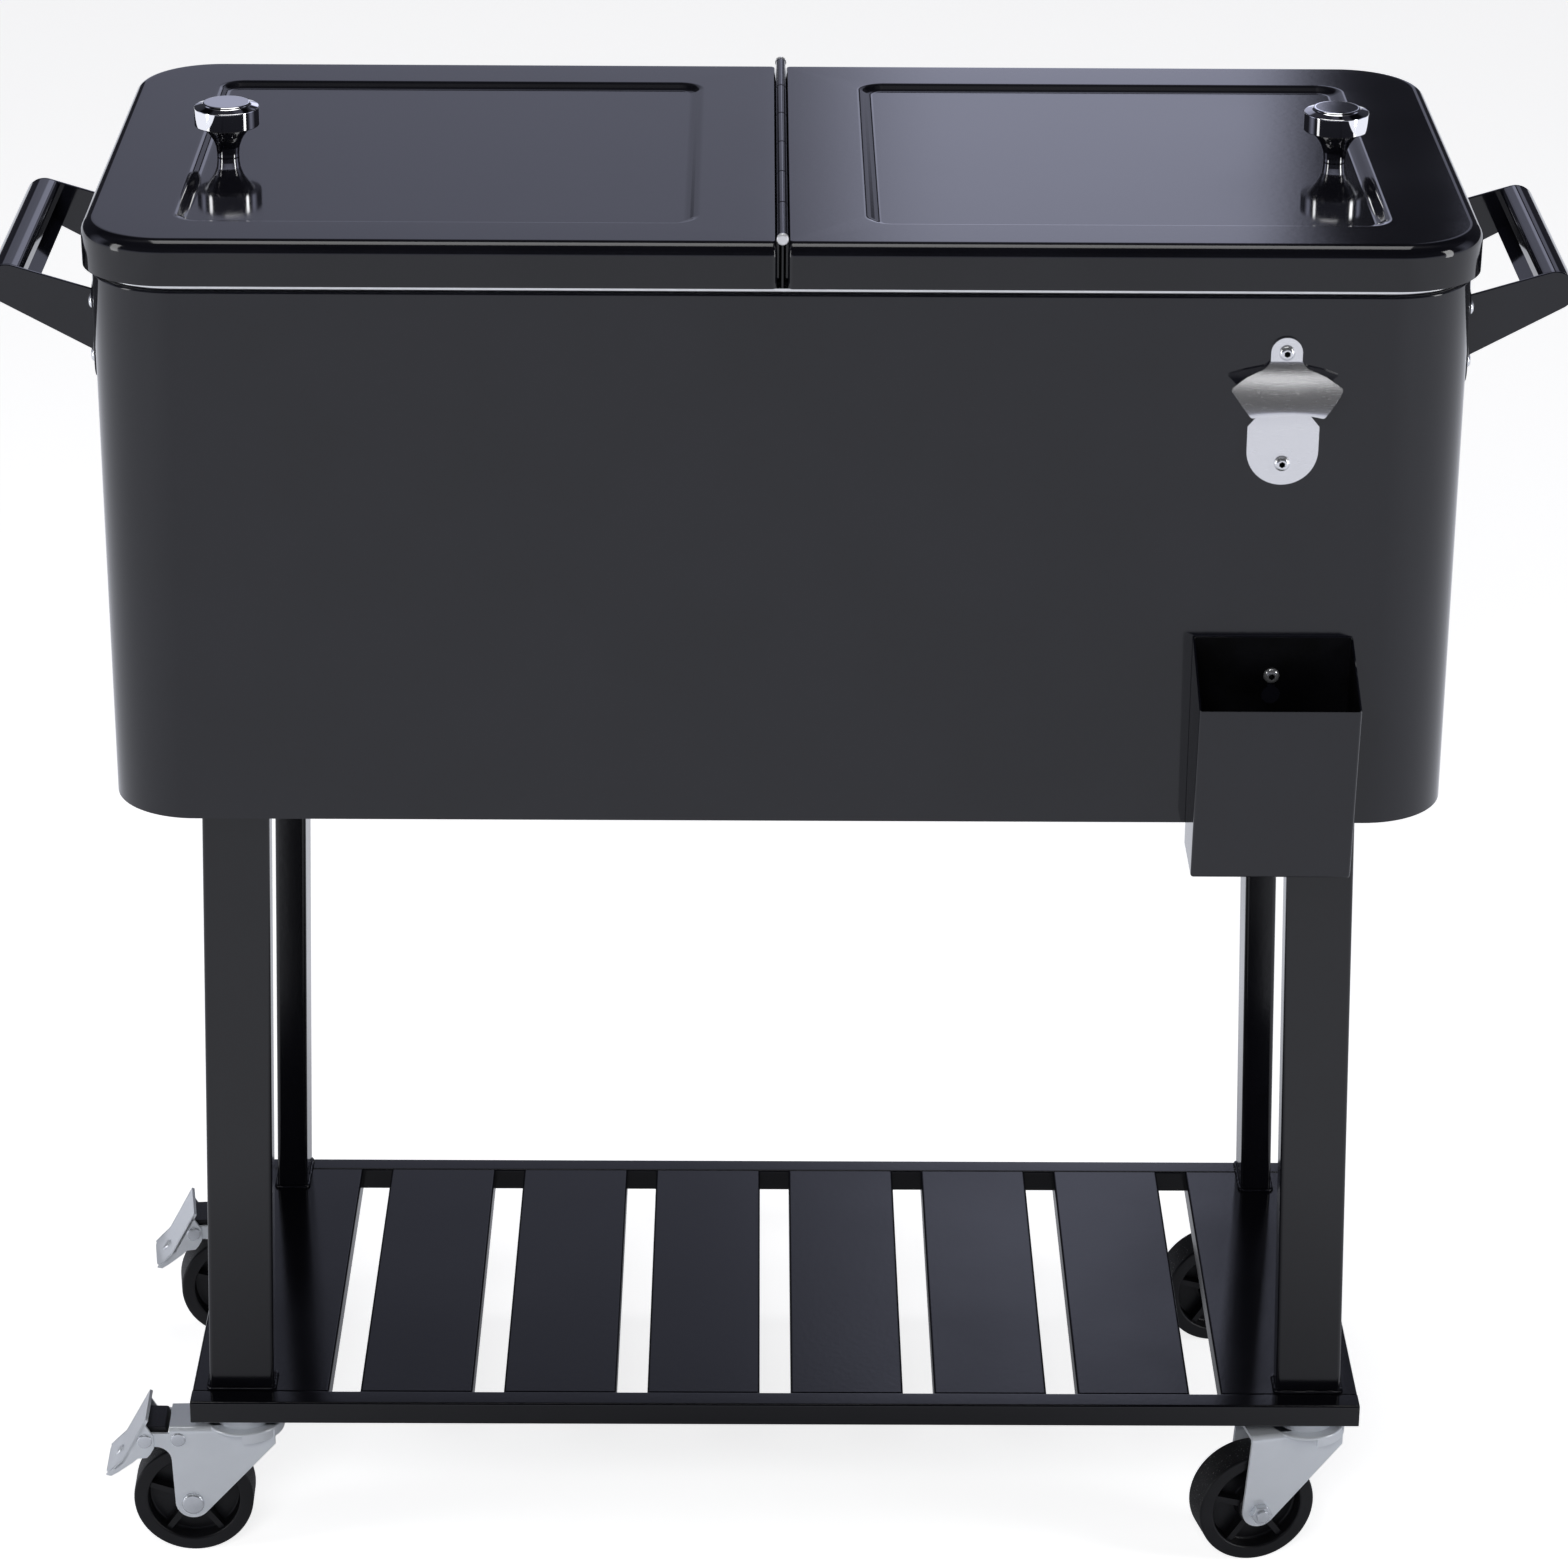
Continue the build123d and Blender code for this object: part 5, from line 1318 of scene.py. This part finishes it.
# %% Wheel
def make_wheel(name, place):
    """Moulded wheel: a rim with a gritty tread, a thin web, a hub and ribs on both sides."""
    bm = bmesh.new()
    side = [(hub_radius, hub_half), (hub_radius, web_half), (rim_inner, web_half), (rim_inner, wheel_half)]
    profile = [(axle_radius, -hub_half)] + [(r, -h) for r, h in side] + [(wheel_radius, -wheel_half)]
    profile += [(wheel_radius, wheel_half)] + list(reversed(side)) + [(axle_radius, hub_half)]
    add_turned(bm, profile, Matrix.Identity(4), wheel_rounding, 96, 4)
    for face in bm.faces:
        if all(hypot(v.co.x, v.co.y) > wheel_radius - tread_depth for v in face.verts):
            face.material_index = 1
    for number in range(rib_count):
        turn = Matrix.Rotation(quarter_turn + number * 2 * pi / rib_count, 4, "Z")
        rib = add_block(bm, (rib_start, -rib_half, -rib_reach), (rib_end, rib_half, rib_reach))
        for vert in rib:
            if vert.co.x < (rib_start + rib_end) / 2:
                vert.co.z *= rib_root_reach
                vert.co.y *= rib_root_width
        bmesh.ops.transform(bm, matrix=turn, verts=rib)
    centre = place @ Matrix.Translation((axle_x, 0, wheel_radius)) @ face_front
    bmesh.ops.transform(bm, matrix=centre, verts=bm.verts)
    node = f"{name}_caster_wheel"
    make_piece(
        bm, f"{name}_tyre", f"{name}_wheel", wheel_plastic, [node], second=tread_plastic
    )


# %% [markdown]
# The fork is folded sheet. A cheek runs from its bend down to a round lug for the axle, along
# lines that just touch the lug. A braked cheek also has a notch and a lug for the pivot.


# %% Fork
def cheek_points(reach, braked):
    """The outline of a cheek below its bend, clockwise from its upper left corner."""
    top = fork_top - cheek_bend
    axle = Vector((axle_x, wheel_radius))
    right_start = Vector((shoulder_x, fork_top - shoulder_depth))
    left_start = Vector((-reach, top))
    right_touch = touch_point(right_start, axle, lug_radius, 1)
    left_touch = touch_point(left_start, axle, lug_radius, -1)
    first = atan2(right_touch.y - axle.y, right_touch.x - axle.x)
    last = atan2(left_touch.y - axle.y, left_touch.x - axle.x)
    if last > first:
        last -= 2 * pi
    points = [tuple(left_start), (shoulder_x, top), tuple(right_start)]
    points += arc_points(axle, lug_radius, first, last, lug_steps)
    if braked:
        lug_end = -quarter_turn - pi * 0.8
        points += arc_points(notch_centre, notch_radius, 0.0, quarter_turn, notch_steps)
        points += arc_points(pivot, pivot_lug, -quarter_turn, lug_end, notch_steps)
    return points


def make_fork(name, place, braked):
    """Folded fork: two cheeks, a bent top, a round head with its skirt and the race's cup."""
    reach = braked_reach if braked else plain_reach
    bm = bmesh.new()
    outline = cheek_points(reach, braked)
    for y in (fork_sheet - cheek_outer, cheek_outer):
        add_plate(bm, outline, fork_sheet, Matrix.Translation((0, y, 0)) @ face_front, 0.0, fork_rim)
    fold_end = fork_top - cheek_bend - fold_overlap
    inner, under = cheek_outer - fork_sheet, fork_top - fork_sheet
    section = [(-cheek_outer, fold_end), (-cheek_outer, fork_top)]
    section += [(cheek_outer, fork_top), (cheek_outer, fold_end)]
    section += [(inner, fold_end), (inner, under), (-inner, under), (-inner, fold_end)]
    before = set(bm.verts)
    add_plate(bm, section, reach + shoulder_x, Matrix.Translation((-reach, 0, 0)) @ along_x)
    bend = [
        e for e in bm.edges
        if e.verts[0] not in before and abs(e.verts[0].co.x - e.verts[1].co.x) > reach
        and abs(e.verts[0].co.z - fork_top) < 0.0001
    ]
    round_edges(bm, bend, bend_radius, 6)
    disc = [(0, fork_top), (head_radius, fork_top), (head_radius, under), (0, under)]
    add_turned(bm, disc, Matrix.Identity(4), head_rounding, 64, 3)
    corners = [
        bm.verts.new((0, -radius, z))
        for radius, z in (
            (head_radius - fork_sheet, fork_top - fork_sheet / 2),
            (head_radius, fork_top - fork_sheet / 2),
            (head_radius, fork_top - skirt_depth),
            (head_radius - fork_sheet, fork_top - skirt_depth),
        )
    ]
    skirt = bm.faces.new(corners)
    bmesh.ops.spin(
        bm, geom=[skirt] + list(skirt.edges) + corners, cent=(0, 0, 0), axis=(0, 0, 1), dvec=(0, 0, 0),
        angle=pi, steps=24, use_merge=False, use_duplicate=False,
    )
    cup = [(cup_inner, fork_top), (cup_inner, fork_top + cup_height), (cup_outer, fork_top + cup_height)]
    cup.append((cup_outer, fork_top))
    add_turned(bm, cup, Matrix.Identity(4), cup_rounding, 48, 3)
    bmesh.ops.transform(bm, matrix=place, verts=bm.verts)
    node = f"{name}_caster_fork"
    make_piece(bm, f"{name}_folded_fork", f"{name}_fork", caster_zinc, [node])


# %% [markdown]
# The axle is a bolt with a domed head and a hexagon nut. On a braked caster its head is in front,
# and the brake's rivets belong to the same piece.

# %% Axle
shank_radius = 0.0038
axle_head_radius, axle_head_height = 0.0070, 0.0030
axle_nut_radius, axle_nut_height = 0.0066, 0.0055
axle_nut_rim = 0.0007
axle_stub = 0.0020
stub_rounding = 0.0006
rivet_shank = 0.0025
rivet_radius, rivet_height = 0.0046, 0.0013
pedal_sheet = 0.0020
pedal_clearance = 0.0003
ear_outer = cheek_outer + pedal_clearance + pedal_sheet
domed_head_shares = [(1.0, 0.0), (1.0, 0.5), (0.95, 0.8), (0.82, 0.96), (0.0, 1.0)]


def make_axle(name, place, braked):
    """Axle bolt with a domed head and a hexagon nut, and the rivets of a brake."""
    bm = bmesh.new()
    flip = Matrix.Identity(4) if braked else Matrix.Rotation(pi, 4, "X")
    axis = Matrix.Translation((axle_x, 0, wheel_radius)) @ face_front @ flip
    head = [(0, -cheek_outer), (shank_radius, -cheek_outer), (shank_radius, cheek_outer)]
    head += [(r * axle_head_radius, cheek_outer + h * axle_head_height) for r, h in domed_head_shares]
    add_turned(bm, head, axis, 0.0, 32)
    stub_end = -cheek_outer - axle_nut_height - axle_stub
    stub = [(0, stub_end), (axle_radius, stub_end), (axle_radius, -cheek_outer)]
    add_turned(bm, stub, axis, stub_rounding, 32, 2)
    nut = arc_points((0.0, 0.0), axle_nut_radius, 0.0, 5 * pi / 3, 5)
    nut_place = axis @ Matrix.Translation((0, 0, -cheek_outer))
    add_plate(bm, nut, -axle_nut_height, nut_place, 0.0, axle_nut_rim)
    if braked:
        ear_face = ear_outer + pedal_clearance
        for spot, span in ((pivot, ear_face), (brake_rivet, cheek_outer)):
            spot_place = Matrix.Translation((spot.x, 0, spot.y)) @ face_front
            rivet = [(rivet_shank, 0), (rivet_shank, span)]
            rivet += [(r * rivet_radius, span + h * rivet_height) for r, h in domed_head_shares]
            for turn in (0, pi):
                add_turned(bm, rivet, spot_place @ Matrix.Rotation(turn, 4, "X"), 0.0, 24)
    bmesh.ops.transform(bm, matrix=place, verts=bm.verts)
    node = f"{name}_caster_axle"
    make_piece(
        bm, f"{name}_axle_bolt", f"{name}_fork", rivet_steel, [node], sharp=radians(45)
    )


# %% [markdown]
# The pedal is a bent foot plate with a small pressed boss and an ear on each side of the fork. A
# black brake shoe sits between its ears and fills the fork there with black: partly the real shoe,
# partly painted shade where the cheeks shade the inside of the fork.

# %% Brake pedal
pedal_top = Vector((-0.0602, 0.0992))
pedal_bend = Vector((-0.0762, 0.0698))
pedal_tip = Vector((-0.0866, 0.0597))
pedal_back = Vector((0.9, -0.5)).normalized() * pedal_sheet
pedal_rim = 0.0004
tip_rounding = 0.0065
flange_from_pivot = [
    (0.0010, 0.0105), (0.0053, 0.0030), (0.0056, -0.0055), (0.0031, -0.0100), (0.0009, -0.0126),
    (-0.0048, -0.0130), (-0.0082, -0.0160), (-0.0173, -0.0226), (-0.0220, -0.0254),
]
boss_radius, boss_rise, boss_along = 0.0042, 0.0010, 0.3
boss_shares = [(1.0, 0.0), (0.8, 0.8), (0.4, 1.0), (0.0, 1.0)]
shade_shoe_half, shade_shoe_corner, shade_shoe_rim = 0.0132, 0.0012, 0.0006
shade_shoe_from_pivot = [
    (-0.0040, -0.0080), (0.0050, -0.0105), (0.0120, -0.0060), (0.0142, 0.0010), (0.0130, 0.0066),
    (-0.0005, 0.0070),
]


def make_pedal(name, place):
    """Bent foot plate with a rounded tip, an ear on each side of the fork, and the brake shoe, a black
    block that is also painted shade inside the fork.
    """
    bm = bmesh.new()
    front = [pedal_top, pedal_bend, pedal_tip]
    back = [point + pedal_back for point in reversed(front)]
    section = [tuple(point) for point in front + back]
    plate_place = Matrix.Translation((0, ear_outer, 0)) @ face_front
    add_plate(bm, section, 2 * ear_outer, plate_place)
    tip_edges = [
        e for e in bm.edges
        if e.calc_length() < pedal_sheet * 1.5
        and all(v.co.z < pedal_tip.y + pedal_sheet * 1.2 for v in e.verts)
        and abs(e.verts[0].co.y - e.verts[1].co.y) < pedal_clearance
    ]
    round_edges(bm, tip_edges, tip_rounding, 8)
    flange = [tuple(pivot + Vector(point)) for point in flange_from_pivot]
    outline = [tuple(pedal_tip), tuple(pedal_bend), tuple(pedal_top)] + flange
    for y in (pedal_sheet - ear_outer, ear_outer):
        add_plate(bm, outline, pedal_sheet, Matrix.Translation((0, y, 0)) @ face_front, 0.0, pedal_rim)
    slope = pedal_tip - pedal_bend
    facing = Vector((slope.y, 0, -slope.x)).normalized()
    boss_spot = pedal_bend.lerp(pedal_tip, boss_along)
    boss_turn = facing.to_track_quat("Z", "Y").to_matrix().to_4x4()
    boss_place = Matrix.Translation((boss_spot.x, 0, boss_spot.y)) @ boss_turn
    boss = [(r * boss_radius, h * boss_rise) for r, h in boss_shares]
    add_turned(bm, boss, boss_place, 0.0, 24)
    bmesh.ops.transform(bm, matrix=place, verts=bm.verts)
    node = f"{name}_caster_pedal"
    make_piece(
        bm, f"{name}_foot_plate", f"{name}_pedal", caster_zinc, [node], rim=pedal_rim
    )
    # The brake shoe is a black block between the cheeks: partly a real shoe, partly painted shade where
    # the fork's inside lies in shadow.
    shoe = bmesh.new()
    outline = [tuple(pivot + Vector(point)) for point in shade_shoe_from_pivot]
    shoe_place = Matrix.Translation((0, shade_shoe_half, 0)) @ face_front
    add_plate(shoe, outline, 2 * shade_shoe_half, shoe_place, shade_shoe_corner, shade_shoe_rim)
    bmesh.ops.transform(shoe, matrix=place, verts=shoe.verts)
    make_piece(shoe, f"{name}_brake_shoe_and_shade", f"{name}_pedal", wheel_plastic)


# %% [markdown]
# The two left casters have brakes, the two right ones are plain.

# %% Set the casters down
casters = (("front_left", True), ("front_right", False), ("rear_left", True), ("rear_right", False))
for name, braked in casters:
    place = caster_place(name)
    make_race(name, place)
    make_wheel(name, place)
    make_fork(name, place, braked)
    make_axle(name, place, braked)
    if braked:
        make_pedal(name, place)
print("casters:", len(casters))

# %% [markdown]
# ## Drain
#
# The drain cap has flutes for the fingers. Its outline is a circle whose radius dips at each
# flute, so a formula draws it, and the plate helper gives it its length.

# %% Drain cap
drain_low, drain_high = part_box("drain_cap")
drain_radius = (drain_high.x - drain_low.x) / 2
flute_count = 12
flute_depth = 0.0011
drain_rim = 0.0008
outline_steps = 144
bm = bmesh.new()
outline = []
for step in range(outline_steps):
    angle = 2 * pi * step / outline_steps
    radius = drain_radius - flute_depth * max(0.0, cos(flute_count * angle)) ** 2
    outline.append((radius * cos(angle), radius * sin(angle)))
drain_place = Matrix.Translation(
    ((drain_low.x + drain_high.x) / 2, drain_low.y, (drain_low.z + drain_high.z) / 2)
) @ face_back
add_plate(bm, outline, drain_high.y - drain_low.y, drain_place, 0.0, drain_rim)
make_piece(bm, "fluted_drain_cap", "drain_cap", drain_plastic, ["drain_cap"])

# %% [markdown]
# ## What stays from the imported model
#
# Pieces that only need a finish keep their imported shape: their material slots get this script's
# materials.

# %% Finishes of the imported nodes
finish_of_slot = {
    "gloss_black_paint": cart_paint,
    "white_tub_plastic": tub_plastic,
    "insulating_foam": foam_fill,
    "bright_trim_steel": trim_steel,
    "seal_rubber": seal_rubber,
    "opener_steel": opener_steel,
    "chrome": chrome,
    "zinc_plated_steel": bolt_zinc,
    "drain_plastic": drain_plastic,
    "caster_zinc": caster_zinc,
    "wheel_plastic": wheel_plastic,
}
slot_of_node = {part["node"]: part["material_slot"] for part in frame["record"]["subparts"]}
for name, node in nodes.items():
    finish = finish_of_slot[slot_of_node[name]]
    if node.material_slots:
        for material_slot in node.material_slots:
            material_slot.material = finish
    else:
        node.data.materials.append(finish)
print("finished nodes:", len(nodes))

# %% [markdown]
# ## Floor
#
# The floor is white paper. It glows a little, so that it stays white beyond the lamps, and takes
# the object's shadow in the part of its white that comes from the lamps.

# %% Floor
floor_half = 15.0
bm = bmesh.new()
bmesh.ops.create_grid(bm, x_segments=1, y_segments=1, size=floor_half)
floor_mesh = bpy.data.meshes.new("floor")
bm.to_mesh(floor_mesh)
bm.free()
floor = bpy.data.objects.new("floor", floor_mesh)
bpy.context.scene.collection.objects.link(floor)

paper = bpy.data.materials.new("paper")
paper.use_nodes = True
paper_nodes, paper_links = paper.node_tree.nodes, paper.node_tree.links
paper_shader = paper_nodes["Principled BSDF"]
paper_shader.inputs["Base Color"].default_value = (0.80, 0.80, 0.80, 1.0)
paper_shader.inputs["Roughness"].default_value = 0.9
glow = paper_nodes.new("ShaderNodeEmission")
glow.inputs["Color"].default_value = (1.0, 1.0, 1.0, 1.0)
glow_seen = 0.80
both = paper_nodes.new("ShaderNodeAddShader")
paper_links.new(paper_shader.outputs[0], both.inputs[0])
paper_links.new(glow.outputs[0], both.inputs[1])
path = paper_nodes.new("ShaderNodeLightPath")
strength = paper_nodes.new("ShaderNodeMath")
strength.operation = "MULTIPLY"
strength.inputs[1].default_value = glow_seen
paper_links.new(path.outputs["Is Camera Ray"], strength.inputs[0])
paper_links.new(strength.outputs[0], glow.inputs["Strength"])
print("floor:", 2 * floor_half, "m wide")

# %% [markdown]
# Gloss black mirrors the floor, so the floor that gloss sees is drawn apart: dim close to the
# cart, where its own shadow lies, even in front, and bright out to both sides, where the body's
# round corners and the chrome look.

# %% Floor as gloss sees it
mirror_near, mirror_front, mirror_sides = 0.20, 0.88, 0.12
near_start, near_end = 0.25, 0.75
side_start, side_end = 0.85, 1.8
where = paper_nodes.new("ShaderNodeTexCoord")
apart = paper_nodes.new("ShaderNodeSeparateXYZ")
paper_links.new(where.outputs["Object"], apart.inputs[0])
length = paper_nodes.new("ShaderNodeVectorMath")
length.operation = "LENGTH"
paper_links.new(where.outputs["Object"], length.inputs[0])
sideways = paper_nodes.new("ShaderNodeMath")
sideways.operation = "ABSOLUTE"
paper_links.new(apart.outputs["X"], sideways.inputs[0])
out_from_cart = spread(
    paper.node_tree, length.outputs["Value"], mirror_near, mirror_front, near_start, near_end
)
out_to_sides = spread(paper.node_tree, sideways.outputs[0], 0.0, mirror_sides, side_start, side_end)
mirrored = paper_nodes.new("ShaderNodeMath")
mirrored.operation = "ADD"
paper_links.new(out_from_cart, mirrored.inputs[0])
paper_links.new(out_to_sides, mirrored.inputs[1])
mirrored_glow = paper_nodes.new("ShaderNodeEmission")
mirrored_glow.inputs["Color"].default_value = (0.90, 0.92, 1.0, 1.0)
paper_links.new(mirrored.outputs[0], mirrored_glow.inputs["Strength"])
seen_or_mirrored = paper_nodes.new("ShaderNodeMixShader")
paper_links.new(path.outputs["Is Glossy Ray"], seen_or_mirrored.inputs["Fac"])
paper_links.new(both.outputs[0], seen_or_mirrored.inputs[1])
paper_links.new(mirrored_glow.outputs[0], seen_or_mirrored.inputs[2])
paper_links.new(seen_or_mirrored.outputs[0], paper_nodes["Material Output"].inputs["Surface"])
floor_mesh.materials.append(paper)
print("mirrored floor:", mirror_near, "to", mirror_front + mirror_sides)
